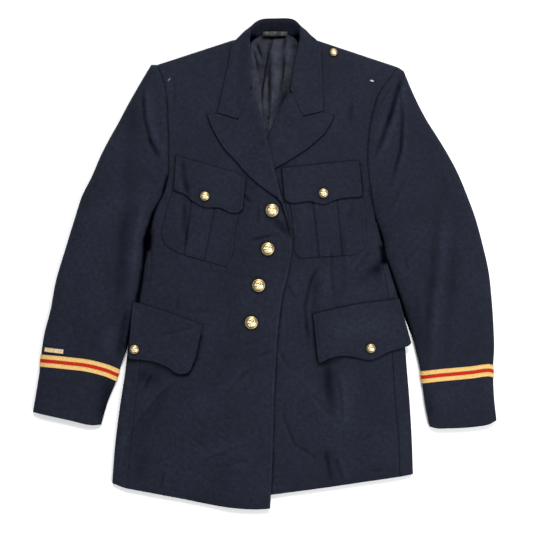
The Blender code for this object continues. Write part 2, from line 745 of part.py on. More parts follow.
def build_service_bar(cloth):
    middle_x, middle_y, length, width, degrees = SERVICE_BAR
    turn = Matrix.Rotation(math.radians(degrees), 2)
    grid = []
    for up in (-0.5, 0.5):
        row = []
        for across in (-0.5, -0.25, 0.0, 0.25, 0.5):
            offset = turn @ Vector((across * length, up * width))
            x, y = middle_x + offset.x, middle_y + offset.y
            row.append((x, y, cloth.clear_top(x, y, BAR_REACH) + LAY + BAR_CLOTH))
        grid.append(row)
    make_sheet("service_bar", grid, BAR_CLOTH, "braid_lace", (0, 0, 1))


def build_body(cloth):
    """Fronts, sides and back; the upper front goes on last."""
    build_back("back_right", SIDE_RIGHT, ARMHOLE_RIGHT, BACK_CENTRE_Y_RIGHT,
               NECK_RIGHT, BACK_NECK_RIGHT, 1)
    build_back("back_left", SIDE_LEFT, ARMHOLE_LEFT, BACK_CENTRE_Y_LEFT,
               NECK_LEFT, BACK_NECK_LEFT, -1)
    cloth.add(build_side("side_right", SIDE_RIGHT, 1))
    cloth.add(build_side("side_left", SIDE_LEFT, -1))
    cloth.add(build_front("front_left", SIDE_LEFT, ARMHOLE_LEFT, EDGE_LEFT, -1,
                          HEM_DROP_LEFT, body_top))
    cloth.add(build_lapel("lapel_left", LAPEL_LEFT, GORGE_LEFT, cloth))
    cloth.add(build_front("front_right", SIDE_RIGHT, ARMHOLE_RIGHT, EDGE_RIGHT, 1,
                          HEM_DROP_RIGHT, lambda x, y: body_top(x, y) + upper_lift(x, y)))
    cloth.add(build_lapel("lapel_right", LAPEL_RIGHT, GORGE_RIGHT, cloth))


def build_sleeves(cloth):
    for side, sleeve, head, armhole, toward_body in (
            ("right", SLEEVE_RIGHT, HEAD_RIGHT, ARMHOLE_RIGHT, 1),
            ("left", SLEEVE_LEFT, HEAD_LEFT, ARMHOLE_LEFT, -1)):
        rows = sleeve_rows(sleeve, head, armhole, toward_body)
        top_grid = build_topsleeve("topsleeve_" + side, rows)
        build_undersleeve("undersleeve_" + side, rows)
        build_braid("braid_" + side, top_grid)
        cloth.add(top_grid)


def build_tunic():
    cloth = Cloth()
    build_body(cloth)
    build_collar(cloth)
    build_sleeves(cloth)
    build_label(build_lining())
    for side, rows in (("right", POCKET_RIGHT), ("left", POCKET_LEFT)):
        cloth.add(build_pocket("chest_pocket_" + side, rows, cloth))
    for name, lines in (("chest_flap_right", CHEST_FLAP_RIGHT),
                        ("chest_flap_left", CHEST_FLAP_LEFT),
                        ("hip_flap_right", HIP_FLAP_RIGHT),
                        ("hip_flap_left", HIP_FLAP_LEFT)):
        cloth.add(build_flap(name, lines, cloth))
    build_service_bar(cloth)
    for name, x, y, diameter, height in BUTTONS:
        build_button(name, x, y, diameter, height, cloth)


for old in list(bpy.data.objects):
    bpy.data.objects.remove(old, do_unlink=True)
PARTS = bpy.data.collections.new("dress_tunic")
bpy.context.scene.collection.children.link(PARTS)
build_tunic()
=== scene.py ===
"""Looks of the military dress tunic, laid flat on a pale floor, front up.

Every visible piece is a thin cloth sheet, or trim, made on the form of the CAD
solid that it stands for. Tables are in millimetres in the row frame, one row per
section; "right" and "left" are the wearer's, and x grows towards the left side.
"""

import math
from types import SimpleNamespace

import bpy
import numpy as np
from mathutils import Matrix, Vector


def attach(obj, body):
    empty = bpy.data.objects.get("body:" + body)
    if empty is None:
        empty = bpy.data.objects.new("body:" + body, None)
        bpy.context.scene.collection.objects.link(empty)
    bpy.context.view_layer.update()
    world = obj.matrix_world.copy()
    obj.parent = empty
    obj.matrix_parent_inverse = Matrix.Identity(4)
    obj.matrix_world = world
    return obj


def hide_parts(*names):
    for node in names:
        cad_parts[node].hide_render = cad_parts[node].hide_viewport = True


MM = 0.001

# Cloth, mm
SHELL = 1.5              # outer cloth with its canvas
LAPEL_CLOTH = 1.7
LAPEL_SPRING = 1.1       # how far a lapel's edge stands off the front
FLAP_CLOTH = 1.3
POCKET_CLOTH = 1.1
LINING_CLOTH = 0.6
TRIM_CLOTH = 0.7
SEAM = 0.15              # half of the gap between two pieces at a seam
EDGE_HIGHLIGHT = 1.0         # painted highlight along the upper front's edge
LAY = 0.7                # clearance under a piece that lies on another
BAR_THICKNESS = 1.2
STITCH_INSET = 5.4       # topstitching, in from the finished edge
FAR = 60.0               # distance given to cloth that no finished edge is near

# How far down the cloth turns at an edge, and over what width, mm
SEAM_REACH = 2.6         # the width at a seam whose depth varies
HEM_TURN = (1.6, 2.6)
BACK_SEAM_TURN = (0.8, 2.6)
SLEEVE_SEAM_TURN = (1.4, 2.6)
CUFF_TURN = (1.4, 2.4)
FRONT_EDGE_TURN = (1.3, 2.4)
LAPEL_EDGE_TURN = (0.8, 1.8)
LAPEL_TOP_TURN = (0.9, 1.8)
LAPEL_ROLL_TURN = (3.4, 4.5)
COLLAR_EDGE_TURN = (0.9, 1.8)
COLLAR_END_TURN = (0.8, 1.8)
POCKET_TURN = (0.85, 1.7)
FLAP_EDGE_TURN = (1.0, 1.9)
FLAP_TOP_TURN = (0.9, 2.0)
LABEL_END_TURN = (0.3, 1.0)

# Heights of the laid garment, mm above the surface
EDGE_TOP = 7.0           # where an upper sheet turns down at a folded edge
FLOOR_LIFT = 0.25        # underside of the cloth that lies on the surface
SIDE_ROUND = 42.0        # how far in from the side the body reaches full height
SHOULDER_ROUND = 20.0
SLEEVE_ROUND = 28.0
TURN_UNDER = 8.0         # how far in the turned-under cloth reaches the surface
OVERLAP_LIFT = 3.2       # upper front over the under front
LAPEL_LIFT = 6.4         # upper front over the under front and its lapel
LIFT_RAMP = 42.0
COLLAR_RAISE = 3.8       # back neck lies on the folded collar
CROWN = 3.0              # chest fullness
CHEST = (95, 130, 75, 90)     # its middles' distance from x 0, y, half width, half height
NECK_MIDDLE = 17.0
CAP_ROLL = 1.3           # fullness of the sleeve head beside the armhole

# Sampling, mm
STEP = 2.5
FINE_STEP = 1.7
COARSE_STEP = 6.0
NEAR_EDGE = (0.0, 0.35, 0.9, 1.7, 2.8)
NEAR_FOLD = (0.0, 0.12, 0.5, 1.2, 2.2, 3.6, 5.4)

BODY_LEVEL = [
    (-405, 10.0), (-340, 12.0), (-240, 13.5), (-120, 14.5), (0, 15.5),
    (80, 17.5), (150, 19.0), (220, 20.0), (290, 19.0), (330, 17.0), (385, 16.0),
]
SLEEVE_LEVEL = [
    (-270, 13.0), (-200, 15.0), (-100, 17.5), (0, 19.0), (100, 20.0),
    (200, 20.5), (280, 19.0), (330, 15.0),
]
# Broad folds: line, half width, height
FOLDS = [
    ([(226, 305), (187, 184)], 15, 3.0), ([(-198, 288), (-176, 178)], 15, 2.6),
    ([(124, -170), (124, -276)], 20, 3.0), ([(35, -172), (118, -258)], 18, 2.4),
    ([(-30, -170), (-110, -250)], 18, 2.4), ([(-135, -318), (-30, -296)], 18, 2.0),
    ([(-330, 60), (-215, 110)], 20, 2.0), ([(330, 40), (225, 60)], 20, 2.0),
]
# Creases: line, half width, height (troughs below 0), and the side of the ridge
# beside it where there is one
BODY_CREASES = [
    ([(-185, -120), (-143, -109), (-102, -99)], 2.4, -0.8, 1),
    ([(-142, -54), (-146, -75)], 2.4, -0.8, 1),
    ([(-130, -76), (-90, -77)], 3.0, -0.75, 1),
    ([(-209, -174), (-186, -203)], 13.0, -0.45),
    ([(-185, -178), (-204, -213)], 2.4, -0.6, 1),
    ([(-136, -184), (-177, -219), (-206, -256), (-224, -285), (-233, -306)], 2.6, -0.65, 1),
    ([(-24, -170), (-41, -186), (-70, -219)], 2.6, -1.1, 1),
    ([(-70, -227), (-57, -252), (-33, -289), (-24, -306)], 2.4, -0.15, -1),
    ([(-119, -285), (-97, -302)], 2.4, -0.6, 1),
    ([(-117, -252), (-99, -269)], 2.4, -0.5, 1),
    ([(-33, -297), (-66, -307), (-107, -326)], 2.6, -0.65, 1),
    ([(-181, -329), (-148, -312)], 2.6, -0.6, 1),
    ([(-167, -343), (-172, -372)], 2.4, -1.2, -1),
    ([(-66, -330), (-33, -322)], 3.0, -0.7, 1),
    ([(-41, -131), (-21, -129), (17, -108)], 2.6, -0.45, 1),
    ([(-20, -153), (15, -141)], 2.6, -0.7, 1),
    ([(22, -141), (42, -170)], 2.4, -0.75, 1),
    ([(25, -170), (42, -162)], 2.4, -0.1, 1),
    ([(36, -30), (50, -58)], 2.4, -0.95, -1),
    ([(93, 1), (78, -19), (71, -42), (66, -69), (69, -102), (75, -141)], 3.2, -1.45, -1),
    ([(86, -12), (80, -50), (81, -78)], 7.5, -1.2),
    ([(101, -5), (99, -61)], 4.5, 0.6),
    ([(109, 30), (110, -14), (114, -63)], 2.4, -0.85, 1),
    ([(141, -5), (127, -30), (116, -48)], 2.8, -0.1, 1),
    ([(196, 11), (186, -3), (171, -17)], 8.5, -0.9),
    ([(193, 1), (174, -14), (154, -32)], 13.0, -0.6),
    ([(177, 28), (157, 1), (142, -22)], 3.2, -0.8, 1),
    ([(94, -110), (113, -124)], 2.6, -0.15, 1),
    ([(33, -220), (30, -251), (50, -297), (75, -311), (91, -327)], 2.5, -1.05, 1),
    ([(42, -179), (80, -218), (129, -267)], 2.5, -0.6, 1),
    ([(107, -166), (108, -212), (113, -262)], 12.0, -0.95),
    ([(121, -185), (126, -226), (129, -262)], 2.8, -1.2, -1),
    ([(99, -306), (110, -355)], 3.0, -0.5, -1),
    ([(116, -317), (129, -355)], 3.0, -1.3, -1),
    ([(107, -300), (115, -358)], 9.5, -0.45),
    ([(146, -294), (179, -278)], 3.0, -0.35, 1),
    ([(175, -339), (195, -339)], 3.0, -1.1, 1),
    ([(-148, 309), (-149, 255)], 2.6, -0.5, 1),
    ([(-134, 173), (-133, 144), (-125, 111)], 5.0, -1.4, 1),
    ([(-132, 107), (-132, 70), (-129, 33)], 4.4, -0.95, 1),
    ([(-35, 115), (-24, 101)], 2.4, -1.2, 1),
    ([(-10, 99), (-11, 64)], 2.4, -0.7, -1),
    ([(-24, 40), (-4, 45), (17, 49)], 2.8, -1.7, 1),
    ([(-41, -15), (-16, -21), (5, -27)], 2.6, -0.65, 1),
    ([(-107, -5), (-66, -14), (-24, -25)], 2.6, -0.45, 1),
    ([(13, 75), (26, 67), (41, 50)], 4.8, -1.3, -1),
    ([(10, 68), (24, 60), (38, 47)], 2.4, -0.9, 1),
    ([(126, 66), (130, 24), (128, -13)], 3.6, -0.7, -1),
    ([(141, 264), (141, 231)], 5.0, -1.0),
    ([(-181, -42), (-145, -12)], 4.0, -0.5, 1),
    ([(144, 107), (137, 71)], 4.0, -0.5),
]
SLEEVE_CREASES = [
    ([(-200, 292), (-199, 265), (-197, 239), (-188, 204), (-175, 178)], 3.4, -1.75, -1),
    ([(-190, 210), (-174, 176)], 5.0, -1.5, -1),
    ([(-188, 148), (-174, 123)], 2.6, -0.4, -1),
    ([(-208, 181), (-220, 107), (-230, 40), (-236, -40), (-250, -80)], 14.0, -0.7),
    ([(-199, 100), (-212, 40), (-218, -40)], 5.0, 0.45),
    ([(-221, -47), (-239, -78), (-255, -94), (-278, -108), (-286, -149)], 3.4, -0.3, -1),
    ([(-257, -104), (-262, -144)], 9.0, 0.35),
    ([(-256, -160), (-262, -210), (-268, -285)], 15.0, -1.0),
    ([(229, 312), (218, 288), (207, 247), (194, 210), (179, 172)], 4.4, -2.3, -1),
    ([(219, 306), (226, 240), (223, 189), (207, 132)], 3.2, -1.6, -1),
    ([(231, 144), (215, 107), (198, 82)], 3.0, -0.6, -1),
    ([(256, 33), (243, 21), (231, 5)], 2.6, -0.55, 1),
    ([(230, 16), (235, -9)], 2.4, -1.1, -1),
    ([(225, 318), (208, 305), (195, 287)], 2.8, -0.2, 1),
    ([(210, 295), (190, 265)], 2.8, -0.8, 1),
    ([(284, 100), (277, 8), (272, -50), (262, -170)], 8.5, -1.0),
    ([(292, 60), (290, 0), (284, -60), (277, -150)], 6.0, 1.0),
    ([(316, 81), (306, -58), (294, -161)], 8.0, -0.55),
    ([(294, 148), (299, 99)], 5.0, -0.55),
    ([(325, 24), (350, 29)], 2.6, -0.8, 1),
    ([(271, -210), (274, -259)], 5.0, -0.8),
]
# Painted shade in the pits between the body and a sleeve: line, half width, darkening
PITS = [
    ([(-158.5, 156), (-169.5, 118), (-181, 89), (-187, 70), (-190, 41), (-195.5, 18),
      (-200.5, -5), (-203.5, -30), (-208, -60), (-213, -95), (-224, -141)], 2.6, -4.6),
    ([(-190, 48), (-193, 26)], 6.6, -6.0),
    ([(170, 123), (175, 107), (182, 86), (192, 41), (200, 14), (208, -9), (223, -54),
      (233, -83)], 1.7, -3.0),
    ([(195, 26), (198, 8)], 7.0, -5.4),
    ([(-158.5, 158), (-168, 122), (-180, 92)], 3.0, -5.0),
]
# Broad painted shade and painted highlight where the cloth bulges or hollows: line, half width,
# amount
SHADES = [
    ([(-212, 275), (-220, 190), (-231, 95)], 11.0, -0.7),
    ([(-230, 105), (-240, 0), (-246, -75), (-264, -125)], 11.0, -0.5),
    ([(-150, 95), (-140, 20)], 15.0, -0.5),
    ([(-170, -378), (0, -396)], 22.0, -0.45),
    ([(20, -376), (235, -352)], 22.0, -0.35),
    ([(-193, 123), (-206, 66), (-217, 0), (-222, -50)], 5.5, 0.9),
    ([(-226, -66), (-235, -116), (-239, -157)], 8.0, -1.9),
    ([(-252, -99), (-259, -149)], 8.0, 0.9),
    ([(-204, 165), (-186, 130)], 8.0, -0.6),
    ([(-252, -182), (-262, -256)], 13.0, -0.9),
    ([(314, 173), (317, 74), (309, -42), (297, -108)], 13.0, -0.4),
    ([(246, -40), (256, -141)], 7.0, -0.9),
    ([(264, 255), (281, 173)], 10.0, -0.4),
    ([(103, -150), (106, -205), (118, -262)], 10.0, -1.1),
    ([(100, -300), (111, -372)], 8.0, -0.9),
    ([(150, -180), (155, -215)], 14.0, 0.35),
    ([(176, 2), (151, -38)], 7.0, -0.45),
    ([(190, 4), (182, -50)], 8.0, -0.8),
    ([(211, -32), (203, -54)], 4.5, 0.6),
    ([(134, 4), (124, -58)], 7.0, -0.5),
    ([(82, -85), (88, -138)], 7.0, -0.55),
    ([(95, -108), (160, -102), (225, -96)], 18.0, 0.75),
    ([(-208, -176), (-165, -190)], 13.0, -1.1),
    ([(-158, -205), (-212, -289)], 10.0, -0.9),
    ([(-192, -306), (-212, -365)], 14.0, -0.8),
    ([(-224, -190), (-232, -273), (-239, -347)], 4.5, 1.1),
    ([(-98, -198), (-120, -260)], 14.0, 0.3),
    ([(-54, 140), (-48, 107)], 3.2, -0.5),
    ([(-103, 160), (-80, 150)], 10.0, 0.35),
    ([(-132, 280), (-127, 222)], 10.0, -0.35),
    ([(22, -170), (26, -250)], 6.0, -0.6),
]
BACK_CREASES = [
    ([(-60, 250), (-120, 180), (-150, 120)], 9, 1.2, 1),
    ([(90, 240), (130, 180), (150, 110)], 9, 1.2, -1),
    ([(-150, -60), (-60, -85), (10, -70)], 8, 1.3, 1),
    ([(170, -30), (90, -60), (20, -45)], 8, 1.1, 1),
    ([(-110, -180), (-90, -300)], 12, 1.4, -1),
    ([(95, -200), (120, -310)], 12, 1.2, 1),
    ([(-30, 60), (-45, -120)], 14, 0.9, 1),
    ([(-300, 40), (-255, 80), (-210, 100)], 8, 1.2, 1),
    ([(-330, -60), (-290, -20), (-240, -5)], 8, 1.1, 1),
    ([(310, 30), (260, 70), (215, 90)], 8, 1.2, -1),
    ([(340, -70), (300, -30), (250, -20)], 8, 1.0, -1),
]

BESIDE_BODY = -150.0         # a sleeve lies against the body above this y
ARMPIT = 150.0               # and is sewn to it in the open above this one
BRAID_SECTION = 2.0          # sleeve section under the braid's lower edge
BRAID_WIDTH = 20.6
BRAID_ROWS = 41
CUFF_FADE = 0.8              # sections over which the drop of the cuff's end fades out
TURN_STEPS = 5               # columns of cloth turned under at each side of a sleeve
UNDER_BEYOND = (-3.0, 5.0)   # how far the under half passes the inner line: cuff, body
CENTRE_X = ((-378, -4.0), (383, 17.0))        # centre back seam: y, x
BACK_NECK_SHARES = (0.0, 0.66, 0.84, 1.0)     # armhole, shoulder's end, back neck, centre
NOTCH_SHARE = 0.7             # where the notch lies on a lapel's top line, from its tip
TUCK = (3.2, 1.3)             # how far a lapel reaches under the collar past its notch

# Collar, right gorge round the neck to left gorge. Each section goes from the
# edge of the fall over its belly and the crease to the foot of the stand.
# A height of None lies on the cloth beneath.
COLLAR = [
    ((-77, 249.2, None), (-44.3, 238.8, None), (-22.5, 292.5, 26), (-20.5, 291, 18)),
    ((-66, 300, None), (-47, 312, None), (-24.5, 330, 27), (-22.5, 328, 15)),
    ((-58, 338, None), (-43, 346, None), (-25, 356, 27), (-22.5, 354, 14)),
    ((-55, 358, None), (-42, 366, None), (-25, 373, 26), (-21, 367, 14)),
    ((-46, 373.5, 8), (-37, 380.5, 15), (-23, 388, 24), (-16, 372, 13)),
    ((-30, 384, 0.3), (-24, 392, 4), (-10, 401, 18), (-4, 378, 11)),
    ((18, 366, 0.3), (18, 396, 0.6), (18, 405, 15), (18, 380.5, 9.5)),
    ((66, 384, 0.3), (61, 392, 4), (50, 401, 18), (40, 379, 11)),
    ((78, 377.5, 8), (70, 384, 15), (58.5, 389, 24), (50, 373, 13)),
    ((90, 364, None), (75, 369, None), (57.5, 374, 26), (54, 367, 14)),
    ((92, 340, None), (75, 347, None), (55, 356, 27), (52.5, 353, 14)),
    ((94, 300, None), (72, 310, None), (48.5, 324, 27), (46, 322, 15)),
    ((95, 251.8, None), (62.8, 243.7, None), (42.5, 286.5, 26), (40.5, 286, 18)),
]

COLLAR_CORNERS = [(-18, 371), (53, 372)]      # corners inside the back neck, painted with deep shade
COLLAR_LEAVES = (3.2, 4.0)    # sections between which the collar leaves the right front
COLLAR_LANDS = (8.0, 8.8)     # and comes to lie on the left one
COLLAR_CREASE = (4.2, 5.0)    # points of a section between which the fall ends
COLLAR_SECTION = 45.0         # about how far apart the sections are

# Neck lining: y, left x, right x
LINING = [
    (112, -30, 20), (150, -35, 30), (200, -40, 40), (250, -45, 52),
    (300, -48, 66), (345, -44, 68), (386, -16, 50),
]
LINING_CREASES = [
    ([(13, 374), (7, 354), (3, 334), (0, 311), (-4, 288), (-4.5, 268), (-2, 242), (0, 216)],
     2.2, -3.6, -1),
    ([(9, 358), (8, 338), (7, 313), (8, 288), (9, 264), (7, 239), (4, 216)], 3.6, -3.4),
    ([(20, 368), (19, 338), (18, 305), (15, 272), (11, 242)], 6.0, 2.6),
    ([(31, 346), (32, 328), (30, 308), (25, 285)], 3.2, -2.8, -1),
    ([(40, 368), (41, 344), (39, 321), (35, 301)], 4.5, 2.0),
    ([(-14, 364), (-8, 351), (-3, 338)], 2.6, -3.0, 1),
    ([(-19, 354), (-14, 338), (-11, 321)], 2.6, -2.2, 1),
    ([(-20, 322), (-14, 297), (-8, 268), (-4, 245)], 5.0, 2.2),
    ([(36, 282), (26, 254), (15, 226)], 3.4, -2.0),
    ([(34, 372), (30, 356)], 2.6, -2.0, 1),
]
LABEL_SHADE = [([(-2, 375), (12, 374), (32, 375)], 2.8, -4.4)]
LABEL = (16.9, 380.6, 40, 6.4, 0)  # middle x, y, length, width, degrees

PLEAT_RISE = 0.9
FLAP_CORNER = 7.0             # radius of a flap's lower corners
FLAP_INSET = 16.0             # a flap stays level over the last of the rounded side

# One side of the tunic each. inward is the x direction to the body's middle; upper tells
# whether its front lies on top. Rows go from the hem or cuff upwards, x before y:
#   panel      front seam, folded edge, depth of the side panel under the body
#   armhole    from underarm to shoulder
#   edge       front edge, roll of the lapel, neck seam
#   hem_drop   share of the width, drop of the hem below the straight line
#   centre_y   heights of the centre back seam's points
#   back_neck  where the collar's foot meets the back
#   sleeve     outer and inner line
#   head       outer side of the sleeve head, level with the armhole's points
#   cuff_drop  share of the way inwards, drop of the cuff's end
#   bow        share of the way inwards, rise of the braid's lower edge
#    pit        half width and darkening of the painted shade along the line beside the body
#   lapel      outer edge and roll, gorge to break
#   roll_fade  heights between which the loft of the roll grows
#   gorge      bends of the lapel's top line: share of the way from its tip to the roll
#   pocket     left and right side, top to bottom
#   pleat      folds of its box pleat: top, bottom, left fold first
#   chest_flap, hip_flap    points of the top line, then as many of the bottom line
RIGHT = SimpleNamespace(
    name="right", inward=1, upper=True, pit=(3.6, -4.8), roll_fade=(60, 120),
    panel=[
        (-229, -369, -252, -361, 45), (-222, -306, -247, -297, 45),
        (-215, -240, -240, -240, 45), (-207, -174, -230, -174, 45),
        (-202, -108, -222.5, -108, 45), (-192, -42, -206, -42, 40),
        (-187, 8, -198, 8, 30), (-186.5, 36, -194.5, 36, 15),
        (-184.5, 74, -186.7, 74, 6),
    ],
    armhole=[
        (-184, 84), (-168, 112), (-158.5, 146), (-158, 175), (-158, 205),
        (-159.5, 239), (-161.5, 275), (-167.5, 305), (-177.5, 330),
    ],
    edge=[
        (9, -402), (12, -339), (14, -273), (16, -207), (20, -132), (28, -58),
        (40, -5), (44.5, 36), (37.5, 72), (36, 80), (27, 112), (17.5, 150), (11, 178),
        (4, 205), (-7.5, 245), (-19, 285), (-32, 330), (-52, 371),
    ],
    hem_drop=[(0.0, 0), (0.35, 4), (0.7, 8), (0.92, 4), (1.0, 0)],
    centre_y=[
        -378, -300, -240, -174, -108, -42, 8, 42, 72, 94, 122, 152, 182, 212,
        245, 282, 330, 383,
    ],
    back_neck=(-20, 380),
    sleeve=[
        (-383, -243, -270, -264), (-376, -202, -259, -226),
        (-371, -169, -245.5, -193), (-369, -147, -240, -175),
        (-364, -114, -227, -136), (-354, -75, -217.5, -88),
        (-345, -27, -206.5, -38), (-330, 24, -200, 5), (-313, 79, -198, 41),
    ],
    head=[
        (-302, 113), (-285.5, 146), (-269.5, 183), (-257, 207), (-243, 232),
        (-226, 264), (-212.5, 288), (-199, 311), (-187.5, 330),
    ],
    cuff_drop=[(0.0, 0), (0.5, 2.0), (0.93, 2.2), (1.0, 0)],
    bow=[(0.0, 0.8), (0.17, 3.5), (0.38, 5.8), (0.58, 7.7), (0.75, 7.0), (0.87, 5.2),
         (1.0, 0.8)],
    lapel=[
        (-94, 246, -22, 291), (-87, 226, -12, 264), (-78, 209, -5, 237),
        (-66, 190, 3, 209), (-50, 173, 9, 186), (-32, 152, 14, 161),
        (-12, 133, 20, 138), (7, 119, 27, 112), (25, 106, 33, 90),
        (35, 82, 39, 67), (40, 58, 44, 46),
    ],
    gorge=[(0.26, -75.5, 247.0), (0.7, -44, 237.4)],
    pocket=[
        (-150, 126, -43, 100), (-155, 108, -44, 82), (-163, 77, -47, 64),
        (-169, 48, -50, 46), (-163, 34, -55, 14), (-141, 19, -64, -3),
    ],
    pleat=[(-119, 103, -130, 24), (-83, 94, -100, 12)],
    chest_flap=(
        [(-145, 178), (-130, 174), (-113, 169), (-96, 164), (-72, 157), (-48, 151), (-31, 142)],
        [(-149, 121), (-133, 116.5), (-117, 103.5), (-99, 94.5), (-74, 93.5), (-50, 84.5),
         (-37, 88)],
    ),
    hip_flap=(
        [(-217, -60), (-194, -67), (-172, -74), (-151, -81), (-130, -89), (-115, -94), (-103, -99)],
        [(-225, -155), (-203, -156), (-180, -160), (-160, -168), (-143, -179), (-128, -178),
         (-114, -154)],
    ),
)
LEFT = SimpleNamespace(
    name="left", inward=-1, upper=False, pit=(1.7, -3.4), roll_fade=(185, 235),
    panel=[
        (222, -350, 245, -346, 45), (220, -289, 243, -289, 45),
        (215, -231, 240, -236, 45), (211, -172, 235, -173, 45),
        (207, -116, 230, -116, 45), (203, -50, 219, -50, 40),
        (195, -5, 205, -5, 28), (187, 36, 194, 36, 14),
        (182.6, 70, 184.8, 70, 6),
    ],
    armhole=[
        (181, 81), (173, 130), (169, 174), (170.5, 212), (178, 251),
        (187, 280), (203, 303), (220, 326),
    ],
    edge=[
        (-47, -387), (-47, -314), (-46, -240), (-44, -174), (-41, -99),
        (-29, -35), (-18, 11), (-12, 55), (-10, 85), (-9, 107), (-3, 173), (5, 214),
        (19, 241), (37, 277), (54, 322), (64, 352), (76, 374),
    ],
    hem_drop=[(0.0, 0), (0.5, 1), (1.0, 0)],
    centre_y=[
        -378, -300, -236, -173, -112, -48, 0, 40, 70, 96, 138, 180, 217, 255,
        292, 335, 383,
    ],
    back_neck=(54, 381),
    sleeve=[
        (383, -257, 272, -267), (379, -220, 264, -226), (377.5, -187, 260, -196),
        (377.5, -165, 257, -175), (379, -141, 251, -147), (378, -103, 241.5, -108),
        (375, -58, 226.5, -61), (370, -12, 210.5, -14), (360, 33, 199.5, 16),
        (347, 80, 195.5, 42),
    ],
    head=[
        (334, 115), (319, 151), (302, 183), (285, 211), (268.5, 237),
        (254, 264), (241, 292), (230, 319),
    ],
    cuff_drop=[(0.0, 0), (0.14, 5.6), (0.28, 6.8), (0.46, 7.1), (0.7, 5.8), (0.93, 3.1),
               (1.0, 0)],
    bow=[(0.0, 0.4), (0.07, 3.7), (0.13, 4.0), (0.31, 2.7), (0.51, 2.2), (0.81, 1.5),
         (1.0, 0.2)],
    lapel=[
        (113, 244, 42, 285), (106, 229, 29, 265), (98, 216, 19, 245),
        (83, 202, 11, 226), (69, 190, 5, 214), (52, 179, 1, 194),
        (35, 168, -2, 176), (18, 159, -4, 158), (3, 147, -6, 140),
    ],
    gorge=[(0.27, 94, 250.2), (0.7, 62.5, 242.2)],
    pocket=[
        (36, 122, 158, 126), (42, 98, 161, 106), (47, 62, 165, 78),
        (49, 40, 166, 56), (49, 22, 165.5, 31), (57, 11, 150, 17),
    ],
    pleat=[(80.5, 102, 91, 9), (117, 103, 125.5, 19)],
    chest_flap=(
        [(28, 158), (48, 160), (72, 162), (96, 165), (118, 167), (137, 169), (154, 170)],
        [(33, 104), (48, 101), (72, 104), (96, 99), (118, 107), (137, 110), (160, 111)],
    ),
    hip_flap=(
        [(79, -81), (100, -76), (122, -71), (145, -66), (172, -62), (197, -59), (221, -56)],
        [(88, -163), (104, -155), (122, -150), (145, -151), (172, -156), (207, -142), (242, -132)],
    ),
)
SIDES = (RIGHT, LEFT)

# Edges that lie on the fronts, with half width and darkening of the painted shade beside them
FLAP_EDGES = [([top[0]] + bottom + [top[-1]], 2.4, -3.0)
              for side in SIDES for top, bottom in (side.chest_flap, side.hip_flap)]
BODY_EDGES = PITS + FLAP_EDGES + [
    (RIGHT.armhole[:-2], 2.4, -1.8), (LEFT.armhole[:-2], 2.8, -2.2),
    ([(-158, -175), (-143, -182), (-127, -181), (-112, -154), (-105, -118)], 4.0, -3.7),
    ([(-222, -158), (-190, -161), (-168, -169), (-152, -178)], 6.5, -1.9),
    ([(80, -100), (84, -140), (89, -166), (104, -160), (125, -155)], 4.2, -2.6),
    ([(155.5, 166), (160.5, 120)], 3.2, -3.0),
]
BODY_EDGES += [([section[0][:2] for section in part], 2.4, -1.9)
               for part in (COLLAR[:4], COLLAR[-4:])]
for side in SIDES:
    BODY_EDGES += [
        ([row[:2] for row in side.lapel], 2.4, -3.6),
        ([row[:2] for row in side.pocket] + [row[2:] for row in side.pocket[::-1]], 2.2, -1.3)]
FRONT_EDGE = [(RIGHT.edge, 2.6, -3.2)]     # the upper front's edge, with painted shade beside it on the under front

# Buttons: CAD node, x, y, diameter, height, turn in degrees
BUTTONS = [
    ("button_front_1", 12, 89, 22.1, 7.0, 12), ("button_front_2", 5, 26, 22.1, 7.0, -20),
    ("button_front_3", -10, -34, 22.1, 7.0, 35), ("button_front_4", -22, -95, 22.1, 7.0, 4),
    ("button_chest_right", -98, 112, 15.4, 5.5, 10),
    ("button_chest_left", 96, 117, 15.4, 5.5, -14),
    ("button_hip_right", -214, -139, 15.4, 5.5, 26),
    ("button_hip_left", 174, -137, 15.4, 5.5, -6),
    ("button_shoulder_left", 113, 349, 12.7, 5.0, 18),
]
# Button profile from the rim under the button to the shank: shares of radius, height
BUTTON_UNDER = [(1.0, 0.46), (0.95, 0.36), (0.5, 0.3), (0.36, 0.0), (0.0, 0.0)]
BUTTON_RINGS, BUTTON_SIDES = 44, 96
DOME_DROP = 0.34              # how much lower the dome's rim is, share of the height
BUTTON_SINK = 0.34            # how far the rim may sink into cloth that rises round it
SHANK_GAP = 0.25              # between the shank and the cloth, mm
# Loose ends of thread: offset aside, length, bend
THREAD_ENDS = [(-0.9, 5.2, 0.5), (-0.3, 7.4, -0.4), (0.4, 6.2, 0.6), (1.0, 4.2, -0.3)]
THREAD_RADIUS = 0.26
# Where they are: object, x, y, degrees, material, colour
THREADS = [
    ("thread_ends_left", 176, 302, -12, "thread_white", (0.75, 0.75, 0.78)),
    ("thread_ends_right", -157, 304, 50, "thread_violet", (0.16, 0.13, 0.42)),
]
SERVICE_BAR = (-346.5, -141, 34, 9.4, -6.5)     # middle x, y, length, width, degrees

# Camera straight above, mm
CAMERA_AT = (2.9, -2.9, 2015.0)
CAMERA_PLANE = 9.0            # height at which the picture is CAMERA_FIELD wide
CAMERA_FIELD = 879.5
SENSOR = 36.0
FLOOR_REACH = 6000.0
# Lights: name, place and size in metres, watts
LIGHTS = [
    ("key", (0.3, 2.6, 3.0), 1.3, 150.0), ("fill", (1.7, -1.2, 2.2), 2.0, 66.0),
]
SKY = (0.94, 0.97, 1.0, 1)
SKY_STRENGTH = 0.45

